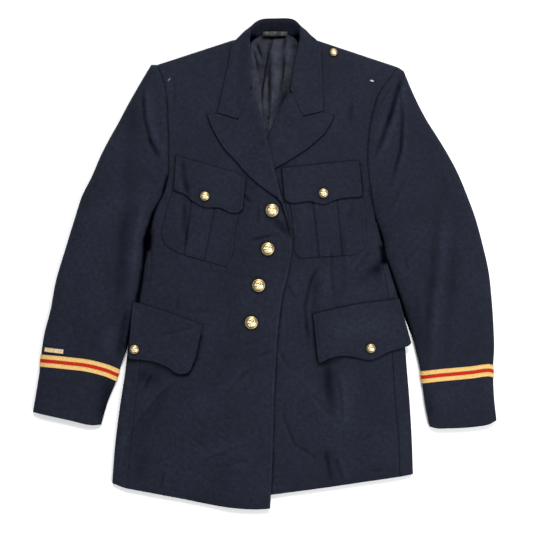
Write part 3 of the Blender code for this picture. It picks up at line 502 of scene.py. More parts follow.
# Colours, linear; pairs are the darker and the lighter end of a mottle
NAVY = (0.0092, 0.0112, 0.0194)
LINT = (0.11, 0.125, 0.16)
CHARCOAL = (0.0126, 0.0146, 0.0238)
GOLD = ((0.54, 0.3, 0.075), (0.88, 0.61, 0.25))
RED = ((0.3, 0.006, 0.0005), (0.52, 0.022, 0.002))
PALE_GOLD = ((0.47, 0.33, 0.13), (0.8, 0.69, 0.42))
BLUE = ((0.02, 0.02, 0.07), (0.05, 0.045, 0.14))
# painted shade between the lace's cords
LACE_GROOVE_SHADE = (0.31, 0.16, 0.035)
LACE_EDGE = (0.14, 0.06, 0.012)
BRASS = ((0.82, 0.66, 0.34), (0.98, 0.9, 0.62))
BRASS_HOLLOW = (0.2, 0.13, 0.045)
TAPE = ((0.003, 0.004, 0.005), (0.057, 0.064, 0.057))
PAPER = ((0.9, 0.9, 0.9), (0.93, 0.93, 0.93))
PAINTED_SHADING_RANGE = (-5.2, 2.0)      # painted shading values of the darkest and the lightest serge


# ---------------------------------------------------------------- numbers

def smooth(value, low, high):
    """0 below low, 1 above high, eased between."""
    share = np.clip((value - low) / (high - low), 0.0, 1.0)
    return share * share * (3.0 - 2.0 * share)


def mix(a, b, share):
    """The value a share of the way from a to b."""
    return a + (b - a) * share


def bell(value, half_width):
    """1 at 0, fading out to both sides."""
    return np.exp(-(value / half_width) ** 2)


def arch(share):
    """Quarter ellipse: 0 at the edge, 1 from one radius in."""
    share = np.clip(share, 0.0, 1.0)
    return np.sqrt(1.0 - (1.0 - share) ** 2)


def hermite(keys, values, at):
    """Smooth reading of values, one row per key, at any places."""
    keys = np.asarray(keys, float)
    values = np.asarray(values, float)
    if values.ndim == 1:
        return hermite(keys, values[:, None], at)[..., 0]
    step = np.diff(keys)
    slope = np.diff(values, axis=0) / step[:, None]
    tangent = np.empty_like(values)
    tangent[0], tangent[-1] = slope[0], slope[-1]
    before, after = step[:-1, None], step[1:, None]
    tangent[1:-1] = (slope[:-1] * after + slope[1:] * before) / (before + after)
    at = np.clip(at, keys[0], keys[-1])
    index = np.clip(np.searchsorted(keys, at, side="right") - 1, 0, len(step) - 1)
    share = ((at - keys[index]) / step[index])[..., None]
    a, b = values[index], values[index + 1]
    out = tangent[index] * step[index][..., None]
    back = tangent[index + 1] * step[index][..., None]
    return a + share * (out + share * (3 * (b - a) - 2 * out - back
                                       + share * (2 * (a - b) + out + back)))


def read(rows, at):
    """Smooth reading of rows of (key, result)."""
    keys, results = zip(*rows)
    return hermite(keys, results, at)


def run_of(points):
    """Length along a line of points, from 0."""
    steps = np.linalg.norm(np.diff(np.asarray(points, float), axis=0), axis=1)
    return np.concatenate([[0.0], np.cumsum(steps)])


def along(points, places):
    """Points of a smooth line at table places: 0 is the first point, 1 the next."""
    keys = run_of(points)
    return hermite(keys, points, np.interp(places, np.arange(len(points)), keys))


def row_places(lines, step, start=(0.0,), end=(0.0,)):
    """Table places of rows a step apart, closer at the offsets from each end.

    Also gives each row's distance from the first one, and the whole length."""
    run = np.mean([run_of(line) for line in lines], axis=0)
    count = max(2, int(round((run[-1] - start[-1] - end[-1]) / step)))
    middle = np.linspace(start[-1], run[-1] - end[-1], count + 1)
    marks = np.concatenate([start[:-1], middle, run[-1] - np.array(end[:-1])[::-1]])
    return np.interp(marks, run, np.arange(len(run))), marks, run[-1]


def spread(width, start, end, step):
    """Places across rows of these widths, closer at the offsets from each side."""
    count = max(2, int(np.max(width) / step))
    squeeze = np.minimum(1.0, 0.8 * width / (start[-1] + end[-1] + 1e-6))[:, None]
    low = np.array(start) * squeeze
    high = width[:, None] - np.array(end)[::-1] * squeeze
    middle = mix(low[:, -1:], high[:, :1], np.linspace(0, 1, count + 1)[1:-1])
    return np.concatenate([low, middle, high], axis=1)


def ruled(left, right, places, start, end, step):
    """Plan of rows ruled between two smooth lines, and the places across them."""
    a, b = along(left, places)[:, None], along(right, places)[:, None]
    width = np.linalg.norm(b - a, axis=2)[:, 0]
    across = spread(width, start, end, step)
    share = (across / width[:, None])[..., None]
    return mix(a, b, share), across, width[:, None] - across, share[..., 0]


def ripple(x, y, size, seed):
    """Smooth random height from -1 to 1, with bumps about size mm across."""
    table = np.random.default_rng(seed).uniform(-1, 1, (64, 64))
    u, v = x / size + 1000.5, y / size + 1000.5
    i, j = np.floor(u).astype(int), np.floor(v).astype(int)
    s, t = smooth(u - i, 0, 1), smooth(v - j, 0, 1)
    near = mix(table[i % 64, j % 64], table[(i + 1) % 64, j % 64], s)
    far = mix(table[i % 64, (j + 1) % 64], table[(i + 1) % 64, (j + 1) % 64], s)
    return mix(near, far, t)


def line_distance(x, y, line, beyond):
    """Distance to a line of points, signed by side, and the share of the way along.

    The line goes on straight past each end by a share of its end segments."""
    run = run_of(line)
    distance = np.full_like(x, 1e9)
    signed = np.zeros_like(x)
    place = np.zeros_like(x)
    for index, ((x1, y1), (x2, y2)) in enumerate(zip(line, line[1:])):
        dx, dy = x2 - x1, y2 - y1
        length = math.hypot(dx, dy)
        share = ((x - x1) * dx + (y - y1) * dy) / length ** 2
        low = -beyond if index == 0 else 0.0
        high = 1.0 + beyond if index == len(line) - 2 else 1.0
        held = np.clip(share, low, high)
        off = np.hypot(x - x1 - held * dx, y - y1 - held * dy)
        side = ((x - x1) * dy - (y - y1) * dx) / length
        nearer = off < distance
        distance = np.where(nearer, off, distance)
        signed = np.where(nearer, np.where(side < 0, -off, off), signed)
        place = np.where(nearer, (run[index] + held * length) / run[-1], place)
    return signed, place


def crease_height(x, y, creases):
    """Sum of creases: a trough or ridge with a softer opposite one beside it."""
    total = np.zeros_like(x)
    for line, half_width, height, *ridge_side in creases:
        signed, place = line_distance(x, y, line, 0.5)
        ends = smooth(place, -0.12, 0.25) * (1.0 - smooth(place, 0.7, 1.12))
        uneven = 1.0 + 0.35 * ripple(x, y, 23.0, int(abs(line[0][0]) + abs(line[0][1])))
        profile = bell(signed, half_width)
        for hand in ridge_side:
            profile -= 0.42 * bell(signed * hand - 2.0 * half_width, 1.3 * half_width)
        total += height * ends * uneven * profile
    return total


def shade_beside(x, y, lines):
    """Darkening beside edges that lie on the cloth, and in the pits beside it."""
    total = np.zeros_like(x)
    for line, half_width, depth in lines:
        signed, _ = line_distance(x, y, line, 0.0)
        uneven = 1.0 + 0.25 * ripple(x, y, 9.0, int(abs(line[0][0])))
        total = np.minimum(total, depth * uneven * bell(signed, half_width))
    return total


# ---------------------------------------------------------------- heights

def fold_height(x, y):
    """Sum of the broad folds."""
    total = np.zeros_like(x)
    for line, half_width, height in FOLDS:
        across, place = line_distance(x, y, line, FAR)
        ends = smooth(place, -0.15, 0.3) * (1.0 - smooth(place, 0.7, 1.15))
        total += height * ends * bell(across, half_width)
    return total


def painted_relief_shading(x, y, creases, edges=()):
    """Painted shading of the cloth's relief: painted shade below 0 in troughs, pits and beside
    edges that lie on it, painted highlight above 0 on ridges.

    The factors say how much each kind of relief shows in the cloth's tone."""
    lie = 1.8 * crease_height(x, y, creases) + 1.4 * crease_height(x, y, SHADES)
    lie += 0.5 * (fold_height(x, y) - 0.3) + 0.6 * waver(x, y)
    return lie + shade_beside(x, y, edges)


def waver(x, y, seed=11):
    """The slow unevenness of cloth that lies loose."""
    return 0.55 * ripple(x, y, 46.0, seed) + 0.22 * ripple(x, y, 17.0, seed + 1)


def side_edge_x(y, side):
    """The folded edge of a side panel at a height."""
    return read([(row[3], row[2]) for row in side.panel], y)


def shoulder_line(side):
    """A shoulder's outer end, and the direction down from its line."""
    outer, inner = side.armhole[-1], side.edge[-1]
    run = np.subtract(inner, outer) / math.dist(inner, outer)
    down = np.array((run[1], -run[0]))
    return np.array(outer, float), down if down[1] < 0 else -down


def shoulder_distance(x, y):
    """How far a point lies below the nearer shoulder line."""
    lines = [shoulder_line(side) for side in SIDES]
    return np.where(x < 0, *((x - outer[0]) * down[0] + (y - outer[1]) * down[1]
                             for outer, down in lines))


def attached(y):
    """0 where the sleeve hangs free of the body, 1 along the armhole."""
    return smooth(y, 40, 130)


def body_top(x, y):
    """Height of the under front's outer face."""
    level = read(BODY_LEVEL, y)
    centre_x, centre_y, wide, high = CHEST
    chest = np.minimum((x - centre_x) ** 2, (x + centre_x) ** 2) / wide ** 2
    level = level + CROWN * np.exp(-chest - (y - centre_y) ** 2 / high ** 2)
    level = level + fold_height(x, y) + crease_height(x, y, BODY_CREASES) + waver(x, y)
    inset = np.where(x < 0, x - side_edge_x(y, RIGHT), side_edge_x(y, LEFT) - x)
    rounded = EDGE_TOP + (level - EDGE_TOP) * arch(inset / SIDE_ROUND)
    level = mix(rounded, level, attached(y))
    return EDGE_TOP + (level - EDGE_TOP) * arch(shoulder_distance(x, y) / SHOULDER_ROUND)


def upper_lift(x, y):
    """How far the upper front is lifted by what lies under it."""
    hidden_edge = read([(point[1], point[0]) for point in LEFT.edge], y)
    ramp = smooth(x, hidden_edge - LIFT_RAMP, hidden_edge - 1.0)
    lift = mix(OVERLAP_LIFT, LAPEL_LIFT, smooth(y, 60, 120))
    return lift * ramp * (1.0 - smooth(y, 222, 285))


def front_top(side, x, y):
    """Height of one side's front."""
    return body_top(x, y) + (upper_lift(x, y) if side.upper else 0.0)


def ground(x, y):
    """Height of the front that a point beside the neck lies on."""
    return body_top(x, y) + np.where(x < NECK_MIDDLE, upper_lift(x, y), 0.0)


def back_raise(x, y):
    """The back's neck lies on the fall of the collar."""
    across = smooth(x, -85, -45) * (1.0 - smooth(x, 70, 110))
    return COLLAR_RAISE * across * smooth(y, 318, 350)


def edge_drop(distance, depth, reach):
    """How far a sheet turns down towards its cut or seamed edge."""
    return depth * (1.0 - arch(distance / reach))


def turned_under(steps):
    """Insets and heights of the lower quarter where cloth turns under, from the turn inwards."""
    angles = np.linspace(0, math.pi / 2, steps + 1)[1:]
    return TURN_UNDER * (1 - np.cos(angles)), mix(FLOOR_LIFT, EDGE_TOP, 1 - np.sin(angles))


# ---------------------------------------------------------------- meshes

def grid_faces(rows, columns):
    """Quads of a grid of points, row by row."""
    index = np.arange(rows * columns).reshape(rows, columns)
    return np.stack([index[:-1, :-1], index[:-1, 1:], index[1:, 1:], index[1:, :-1]],
                    axis=-1).reshape(-1, 4)


def step_lengths(grid, axis):
    """Length along the lines of a grid, from 0."""
    steps = np.linalg.norm(np.diff(grid, axis=axis), axis=2)
    pad = [(0, 0), (0, 0)]
    pad[axis] = (1, 0)
    return np.cumsum(np.pad(steps, pad), axis=axis)


def linked(name, data):
    """A new object in the scene."""
    made = bpy.data.objects.new(name, data)
    bpy.context.scene.collection.objects.link(made)
    return made


def build(name, points, faces, finishes):
    """An object of points in mm."""
    mesh = bpy.data.meshes.new(name)
    mesh.from_pydata((points * MM).tolist(), [], faces.tolist())
    for finish in finishes:
        mesh.materials.append(finish)
    mesh.shade_smooth()
    return linked(name, mesh)


def write_fact(mesh, name, values):
    """A value at each point, for the mesh's material to read."""
    layer = mesh.attributes.new(name, "FLOAT", "POINT")
    layer.data.foreach_set("value", values.astype(np.float32).ravel())


def settle(piece, node):
    """The piece rides on the frame and stands for its CAD node."""
    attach(piece, "root")
    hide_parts(node)


LAID = []            # points of the sheets so far, for what is laid on them


def sheet(name, node, slot, grid, thickness, finishes, outward=(0, 0, 1), **facts):
    """A cloth sheet from rows of points on its outer face, thickened inwards."""
    points, faces = grid.reshape(-1, 3), grid_faces(*grid.shape[:2])
    facing = np.cross(points[faces[:, 1]] - points[faces[:, 0]],
                      points[faces[:, 3]] - points[faces[:, 0]]).sum(axis=0)
    if facing @ np.array(outward, float) < 0:
        faces = faces[:, ::-1]
    piece = build(name, points, faces, finishes)
    lengths = np.stack([step_lengths(grid, 1), step_lengths(grid, 0)], axis=-1) * MM
    grain = lengths.reshape(-1, 2)[faces.ravel()].astype(np.float32)
    piece.data.uv_layers.new(name="grain").data.foreach_set("uv", grain.ravel())
    for key, values in facts.items():
        write_fact(piece.data, key, np.broadcast_to(values, grid.shape[:2]))
    solidify = piece.modifiers.new("cloth", "SOLIDIFY")
    solidify.thickness = thickness * MM
    solidify.offset = -1.0
    solidify.material_offset = len(finishes) - 1
    settle(piece, node)
    LAID.append(points)


def raised(plan, height):
    """Points of a plan at these heights."""
    return np.concatenate([plan, height[..., None]], axis=-1)


def laid_top(x, y, reach):
    """Highest laid point within reach."""
    best = -1e9
    for points in LAID:
        near = np.hypot(points[:, 0] - x, points[:, 1] - y) < reach
        if near.any():
            best = max(best, points[near, 2].max())
    return best


# ---------------------------------------------------------------- materials

class Shading:
    """A material's nodes, added one at a time."""

    def __init__(self, name, **sockets):
        self.material = bpy.data.materials.new(name)
        self.material.use_nodes = True
        self.tree = self.material.node_tree
        self.shader = self.tree.nodes["Principled BSDF"]
        for key, value in sockets.items():
            self.shader.inputs[key.replace("_", " ")].default_value = value

    def node(self, kind, inputs=None, **settings):
        """A node; an input that is another node's socket is linked to it."""
        made = self.tree.nodes.new(kind)
        for key, value in settings.items():
            setattr(made, key, value)
        for key, value in (inputs or {}).items():
            if isinstance(value, bpy.types.NodeSocket):
                self.tree.links.new(value, made.inputs[key])
            else:
                made.inputs[key].default_value = value
        return made

    def place(self):
        """Position in the object's own frame, m."""
        return self.node("ShaderNodeTexCoord").outputs["Object"]

    def grain(self):
        """Lengths across and up the cloth, m."""
        return self.node("ShaderNodeUVMap", uv_map="grain").outputs["UV"]

    def fact(self, name):
        """A value written at the points of the mesh."""
        return self.node("ShaderNodeAttribute", attribute_name=name).outputs["Fac"]

    def noise(self, where, scale, detail=2.0, roughness=0.5):
        """Clouds of about 0.3 to 0.7."""
        made = self.node("ShaderNodeTexNoise", {
            "Vector": where, "Scale": scale, "Detail": detail, "Roughness": roughness})
        return made.outputs["Fac"]

    def wave(self, where, scale, direction="X", distortion=0.0):
        """Even bands, 0 to 1."""
        made = self.node("ShaderNodeTexWave", {
            "Vector": where, "Scale": scale, "Distortion": distortion},
            bands_direction=direction)
        return made.outputs["Fac"]

    def sum(self, operation, a, b=0.0, c=0.0):
        """One step of arithmetic."""
        return self.node("ShaderNodeMath", {0: a, 1: b, 2: c}, operation=operation).outputs[0]

    def fit(self, value, low, high, to_low=0.0, to_high=1.0):
        """A range of values laid on another, and held at its ends."""
        made = self.node("ShaderNodeMapRange", {
            "Value": value, "From Min": low, "From Max": high,
            "To Min": to_low, "To Max": to_high})
        return made.outputs["Result"]

    def blend(self, share, a, b, mode="MIX"):
        """The colour a share of the way from a to b."""
        made = self.node("ShaderNodeMix", {"Factor": share}, data_type="RGBA", blend_type=mode)
        for index, value in ((6, a), (7, b)):
            if isinstance(value, bpy.types.NodeSocket):
                self.tree.links.new(value, made.inputs[index])
            else:
                made.inputs[index].default_value = (*value, 1.0)
        return made.outputs[2]

    def scaled(self, tone, amount, blue=None):
        """A tone times an amount, which may differ for blue."""
        factor = self.node("ShaderNodeCombineColor", {
            "Red": amount, "Green": amount, "Blue": amount if blue is None else blue})
        return self.blend(1.0, tone, factor.outputs[0], "MULTIPLY")

    def crevice_shade(self, distance):
        """1 deep in a gap or under an edge, 0 in the open; used to paint shade into colour."""
        open_share = self.node("ShaderNodeAmbientOcclusion", {"Distance": distance},
                               samples=6).outputs["AO"]
        return self.fit(open_share, 0.35, 0.92, 1.0, 0.0)

    def painted_wrinkle_shade(self, where, degrees, scale):
        """Thin broken lines that run mostly one way, for painted shade of fine creases."""
        turned = self.node("ShaderNodeMapping", {
            "Vector": where, "Rotation": (0, 0, math.radians(degrees)),
            "Scale": (1.0, 0.25, 1.0)}).outputs[0]
        level = self.noise(turned, scale, 1.0, 0.4)
        line = self.sum("ABSOLUTE", self.sum("SUBTRACT", level, 0.5))
        broken = self.fit(self.noise(turned, scale * 2.6, 1.0, 0.4), 0.53, 0.64)
        return self.sum("MULTIPLY", self.fit(line, 0.002, 0.012, 1.0, 0.0), broken)

    def drive(self, socket, value):
        """An input of the shader follows a value."""
        self.tree.links.new(value, self.shader.inputs[socket])

    def colour(self, socket):
        self.drive("Base Color", socket)

    def rough(self, socket):
        self.drive("Roughness", socket)

    def bump(self, height, strength, distance):
        """Fine relief, without geometry."""
        made = self.node("ShaderNodeBump", {
            "Height": height, "Strength": strength, "Distance": distance})
        self.tree.links.new(made.outputs["Normal"], self.shader.inputs["Normal"])


def tint(base, factor):
    """A colour, lighter or darker by a factor."""
    return tuple(channel * factor for channel in base)


def serge(name, base, stitched):
    """Twilled wool: mottled dye, napped surface, topstitching; painted shade in creases, gaps and
    beside edges, and edges lighter, partly from wear and partly as painted highlight.
    """
    cloth = Shading(name, Sheen_Roughness=0.4, Sheen_Tint=(0.62, 0.72, 1.0, 1.0))
    where, grain = cloth.place(), cloth.grain()
    twill = cloth.wave(grain, 400.0, "DIAGONAL", 0.6)
    fuzz = cloth.noise(where, 900.0, 3.0, 0.65)
    mottle = cloth.noise(where, 150.0, 4.0, 0.62)
    broad = cloth.noise(where, 9.0, 2.0, 0.5)
    dark = tint(base, 0.66)
    tone = cloth.blend(cloth.fit(mottle, 0.3, 0.7), dark, tint(base, 1.36))
    fleck = cloth.noise(where, 480.0, 2.0, 0.6)
    shade = cloth.sum("ADD", cloth.fit(broad, 0.25, 0.75, 0.86, 1.14),
                      cloth.fit(twill, 0, 1, -0.07, 0.07))
    shade = cloth.sum("ADD", shade, cloth.fit(fleck, 0.25, 0.75, -0.24, 0.24))
    tone = cloth.scaled(tone, shade)
    # painted shade of fine creases, as thin dark lines
    lines = cloth.sum("ADD", cloth.painted_wrinkle_shade(where, 35.0, 16.0),
                      cloth.painted_wrinkle_shade(where, -50.0, 13.0))
    tone = cloth.blend(cloth.sum("MULTIPLY", lines, 0.3), tone, dark)
    lint = cloth.fit(cloth.noise(where, 1300.0, 2.0, 0.7), 0.735, 0.78, 0.0, 0.5)
    tone = cloth.blend(lint, tone, LINT)
    # painted shading: darker and bluer in creases, pits and beside edges, lighter on ridges
    fold = cloth.fact("fold")
    tone = cloth.scaled(tone, cloth.fit(fold, *PAINTED_SHADING_RANGE, 0.03, 1.33),
                        cloth.fit(fold, *PAINTED_SHADING_RANGE, 0.085, 1.32))
    rim = cloth.fact("rim")
    # lighter edges, partly wear and partly painted highlight
    wear_and_highlight = cloth.sum("MULTIPLY", cloth.fit(rim, 0.2, 1.8, 0.2, 0.0),
                     cloth.fit(mottle, 0.35, 0.6))
    tone = cloth.blend(wear_and_highlight, tone, tint(base, 1.9))
    # painted shade in gaps and under edges, from ambient occlusion
    tone = cloth.blend(cloth.crevice_shade(0.007), tone, tint(base, 0.3))
    # specular and sheen fade out where the painted shade is deepest, so that it shows near black
    lit = cloth.fit(fold, -4.6, -1.2)
    cloth.drive("Specular IOR Level", cloth.sum("MULTIPLY", lit, 0.1))
    cloth.drive("Sheen Weight", cloth.sum("MULTIPLY", lit, 0.06))
    height = cloth.sum("MULTIPLY_ADD", twill, 0.5, fuzz)
    if stitched:
        off_line = cloth.sum("ABSOLUTE", cloth.sum("SUBTRACT", rim, STITCH_INSET))
        line = cloth.fit(off_line, 0.15, 0.7, 1.0, 0.0)
        dash = cloth.fit(cloth.wave(where, 125.0, "DIAGONAL"), 0.25, 0.5, 0.35, 1.0)
        stitch = cloth.sum("MULTIPLY", line, dash)
        tone = cloth.blend(cloth.sum("MULTIPLY", stitch, 0.6), tone, tint(base, 0.35))
        height = cloth.sum("SUBTRACT", height, cloth.sum("MULTIPLY", stitch, 1.6))
    cloth.colour(tone)
    cloth.rough(cloth.fit(mottle, 0.3, 0.7, 0.72, 0.92))
    cloth.bump(height, 0.35, 0.0004)
    return cloth.material


def satin(name, base):
    """Charcoal lining satin with a fine rib; painted shade in its creases and painted highlight on
    its ridges, where its specular is stronger too.
    """
    cloth = Shading(name, Sheen_Weight=0.03, Sheen_Roughness=0.3)
    where, grain = cloth.place(), cloth.grain()
    rib = cloth.wave(grain, 700.0, "X", 0.8)
    cloud = cloth.noise(where, 60.0, 5.0, 0.6)
    tone = cloth.blend(cloth.fit(cloud, 0.3, 0.7), tint(base, 0.45), tint(base, 1.75))
    # painted shade in creases, painted highlight on ridges
    fold = cloth.fact("fold")
    cloth.drive("Specular IOR Level", cloth.fit(fold, -4.0, 1.0, 0.0, 0.35))
    cloth.colour(cloth.scaled(tone, cloth.fit(fold, -4.6, 3.0, 0.04, 1.7)))
    cloth.rough(cloth.fit(cloud, 0.3, 0.7, 0.38, 0.56))
    cloth.bump(cloth.sum("MULTIPLY_ADD", rib, 0.2, cloth.noise(where, 170.0, 5.0, 0.65)),
               0.7, 0.0016)
    return cloth.material


def lace(name, gold, stripe):
    """Metal-thread lace: gold, with another colour where the band fact is 1, and painted shade
    between its cords.
    """
    cloth = Shading(name, Specular_IOR_Level=0.12, Metallic=0.15)
    where, grain = cloth.place(), cloth.grain()
    cords = cloth.wave(grain, 260.0, "Y", 0.4)
    twist = cloth.wave(grain, 330.0, "DIAGONAL", 1.2)
    spark = cloth.noise(where, 700.0, 3.0, 0.7)
    metal = cloth.blend(cloth.fit(spark, 0.32, 0.68), *gold)
    # painted shade in the grooves between the cords
    metal = cloth.blend(cloth.fit(cords, 0.0, 0.6, 0.35, 0.0), metal, LACE_GROOVE_SHADE)
    other = cloth.blend(cloth.fit(spark, 0.3, 0.7), *stripe)
    tone = cloth.blend(cloth.fit(cloth.fact("band"), 0.35, 0.6), metal, other)
    edge = cloth.fit(cloth.fact("border"), 0.0, 1.0, 0.0, 0.6)
    cloth.colour(cloth.blend(edge, tone, LACE_EDGE))
    cloth.rough(cloth.fit(spark, 0.3, 0.7, 0.36, 0.6))
    cloth.bump(cloth.sum("ADD", cords, cloth.sum("MULTIPLY", twist, 0.7)), 0.6, 0.0005)
    return cloth.material


def gilt():
    """Die-struck gilt: pale raised metal, dull brown in the hollows, painted shade on its outer
    rim, fine scratches.
    """
    metal = Shading("gilt_brass", Metallic=0.75, Coat_Weight=0.1, Coat_Roughness=0.15)
    where = metal.place()
    tarnish = metal.noise(where, 420.0, 4.0, 0.65)
    relief = metal.fact("relief")
    bright = metal.blend(metal.fit(tarnish, 0.35, 0.7), *BRASS)
    # dull brown patina in the struck hollows; the outer rim, set low by button_face, takes it too
    # as painted shade
    hollow_and_rim_shade = metal.fit(metal.sum("ADD", relief, metal.fit(tarnish, 0.3, 0.7, -0.15, 0.15)),
                       0.05, 0.6, 0.95, 0.0)
    metal.colour(metal.blend(hollow_and_rim_shade, bright, BRASS_HOLLOW))
    metal.rough(metal.fit(tarnish, 0.3, 0.7, 0.26, 0.42))
    metal.bump(metal.noise(where, 1500.0, 2.0, 0.5), 0.12, 0.0002)
    return metal.material


def woven_label():
    """Dark tape with a paler mottle and no lettering."""
    cloth = Shading("label_tape", Specular_IOR_Level=0.3, Sheen_Weight=0.2)
    grain = cloth.grain()
    weave = cloth.sum("MULTIPLY", cloth.wave(grain, 500.0, "X"), cloth.wave(grain, 500.0, "Y"))
    cloud = cloth.noise(cloth.place(), 150.0, 4.0, 0.7)
    cloth.colour(cloth.blend(cloth.fit(cloud, 0.47, 0.62), *TAPE))
    cloth.rough(cloth.fit(cloud, 0.3, 0.7, 0.55, 0.8))
    cloth.bump(weave, 0.4, 0.0004)
    return cloth.material


def thread(name, colour):
    """Twisted yarn."""
    made = Shading(name, Roughness=0.6, Sheen_Weight=0.3)
    twist = made.wave(made.place(), 900.0, "DIAGONAL")
    made.colour(made.blend(twist, tint(colour, 0.7), colour))
    made.bump(twist, 0.5, 0.0003)
    return made.material


def pale_floor():
    """Matt paper, nearly white."""
    paper = Shading("pale_floor", Specular_IOR_Level=0.1)
    cloud = paper.noise(paper.place(), 3.0, 3.0, 0.5)
    paper.colour(paper.blend(cloud, *PAPER))
    paper.rough(paper.fit(cloud, 0.3, 0.7, 0.85, 0.95))
    return paper.material


CLOTH = serge("navy_serge", NAVY, False)
STITCHED = serge("navy_serge_stitched", NAVY, True)
FACING = serge("navy_facing", tint(NAVY, 1.06), True)
SATIN = satin("lining_satin", CHARCOAL)
LACE = lace("gold_red_lace", GOLD, RED)
BAR_LACE = lace("gold_navy_lace", PALE_GOLD, BLUE)
GILT = gilt()
LABEL_TAPE = woven_label()


# ---------------------------------------------------------------- body

def shift(points, amount):
    """A line moved along x."""
    return [(x + amount, y) for x, y in points]


def ends(rows):
    """The two points of each row of a table."""
    return [row[:2] for row in rows], [row[2:4] for row in rows]


def lower_end(plan, share, places, drop, fade):
    """Drops the first rows of a plan below the straight line."""
    plan[..., 1] -= read(drop, share) * np.clip(1 - places / fade, 0, 1)[:, None]


def back(side):
    """A back from its side seam and armhole to the centre seam and neck."""
    seam = shift([(row[2] + side.inward * row[4], row[1]) for row in side.panel]
                 + side.armhole, SEAM * side.inward)
    centre_x = np.interp(side.centre_y, *zip(*CENTRE_X)) - side.inward * SEAM
    centre = list(zip(centre_x, side.centre_y))
    places, _, _ = row_places((seam, centre), COARSE_STEP, NEAR_EDGE[:3], NEAR_EDGE[:3])
    plan, from_side, from_centre, share = ruled(
        seam, centre, places, NEAR_EDGE, NEAR_EDGE, COARSE_STEP)
    corners = zip(seam[-1], side.edge[-1], side.back_neck, centre[-1])
    top = np.stack([np.interp(share[-1], BACK_NECK_SHARES, axis) for axis in corners], axis=1)
    top[:, 1] -= TURN_UNDER * (1 - smooth(share[-1], 0.5, 0.66))
    last = smooth(places, len(seam) - 2.0, len(seam) - 1.0)[:, None, None]
    plan = plan + last * (top - plan[-1])[None]
    x, y = plan[..., 0], plan[..., 1]
    z = FLOOR_LIFT + np.maximum(0.0, crease_height(x, y, BACK_CREASES))
    z += 0.3 * (1 + ripple(x, y, 40.0, 21))
    z += edge_drop(from_side, *BACK_SEAM_TURN) + edge_drop(from_centre, *BACK_SEAM_TURN)
    sheet("back_half_" + side.name, "back_" + side.name, "cloth",
          raised(plan, np.maximum(z, back_raise(x, y))), SHELL, (CLOTH, SATIN), (0, 0, -1),
          rim=np.minimum(from_side, from_centre) + 2.0)


def side_seam_depth(x, y):
    """How far the cloth dips at the seam between a front and its side panel."""
    return 0.25 + 0.2 * ripple(x, y, 30.0, 5)


def side_panel(side):
    """A side panel: from the front seam round the folded edge to the back."""
    seam, edge = ends(side.panel)
    places, from_hem, _ = row_places((seam, edge), STEP, NEAR_EDGE)
    seam, edge = along(seam, places), along(edge, places)
    under = hermite(np.arange(len(side.panel)), [row[4] for row in side.panel], places)
    width = np.abs(seam[:, 0] - edge[:, 0]) - SEAM
    full_turn = np.arccos(1 - np.clip(width / SIDE_ROUND, 0, 1))
    insets = [SIDE_ROUND * (1 - np.cos(turn * full_turn)) for turn in np.linspace(1, 0, 12)]
    above = len(insets)
    reach = np.minimum(1.0, under * 0.6 / TURN_UNDER)
    turns, lows = turned_under(TURN_STEPS + 1)
    insets += [turn * reach for turn in turns]
    insets += [mix(TURN_UNDER * reach, under - SEAM, share)
               for share in (0.2, 0.4, 0.6, 0.8, 0.96, 1.0)]
    inset, width, from_hem = np.stack(insets, axis=1), width[:, None], from_hem[:, None]
    x = edge[:, :1] + side.inward * inset
    y = mix(edge[:, 1:], seam[:, 1:], np.minimum(inset / width, 1.0))
    z = body_top(x, y) - edge_drop(width - inset, side_seam_depth(x, y), SEAM_REACH)
    z -= edge_drop(from_hem, *HEM_TURN)
    z[:, above:] = FLOOR_LIFT
    z[:, above:above + len(lows)] = lows
    z[:, -1] += 0.6
    sheet("side_body_" + side.name, "side_" + side.name, "cloth", np.stack([x, y, z], axis=2),
          SHELL, (CLOTH, SATIN), (-side.inward, 0, 0.01), rim=np.minimum(from_hem, FAR),
          fold=painted_relief_shading(x, y, BODY_CREASES, BODY_EDGES))


def front(side):
    """A front from its side seam and armhole to its front edge and neck."""
    seam = shift(ends(side.panel)[0] + side.armhole, SEAM * side.inward)
    places, from_hem, _ = row_places((seam, side.edge), STEP, NEAR_EDGE, NEAR_FOLD)
    plan, from_side, from_edge, share = ruled(
        seam, side.edge, places, NEAR_EDGE, NEAR_EDGE, STEP)
    lower_end(plan, share, places, side.hem_drop, 2.0)
    x, y = plan[..., 0], plan[..., 1]
    from_hem = from_hem[:, None]
    seam_depth = side_seam_depth(x, y) + 1.05 * attached(y)
    z = front_top(side, x, y) - edge_drop(from_side, seam_depth, SEAM_REACH)
    z += 0.35 * bell(from_side - 5.0, 2.6) * (1 + ripple(x, y, 14.0, 6))
    z -= edge_drop(from_edge, *FRONT_EDGE_TURN) + edge_drop(from_hem, *HEM_TURN)
    _, down = shoulder_line(side)
    over_shoulder = [raised(plan[-1] + down * inset, np.full(plan.shape[1], low))
                     for inset, low in zip(*turned_under(TURN_STEPS))]
    grid = np.concatenate([raised(plan, z), over_shoulder])
    rim = np.pad(np.minimum(from_edge, from_hem), ((0, TURN_STEPS), (0, 0)),
                 constant_values=FAR)
    fold = painted_relief_shading(grid[..., 0], grid[..., 1], BODY_CREASES,
               BODY_EDGES if side.upper else BODY_EDGES + FRONT_EDGE)
    # painted highlight along the upper front's edge
    if side.upper:
        fold[:len(z)] += EDGE_HIGHLIGHT * bell(from_edge - 3.2, 2.2)
    sheet("front_half_" + side.name, "front_" + side.name, "cloth", grid, SHELL,
          (STITCHED, SATIN), rim=rim, fold=fold)


# ---------------------------------------------------------------- sleeves

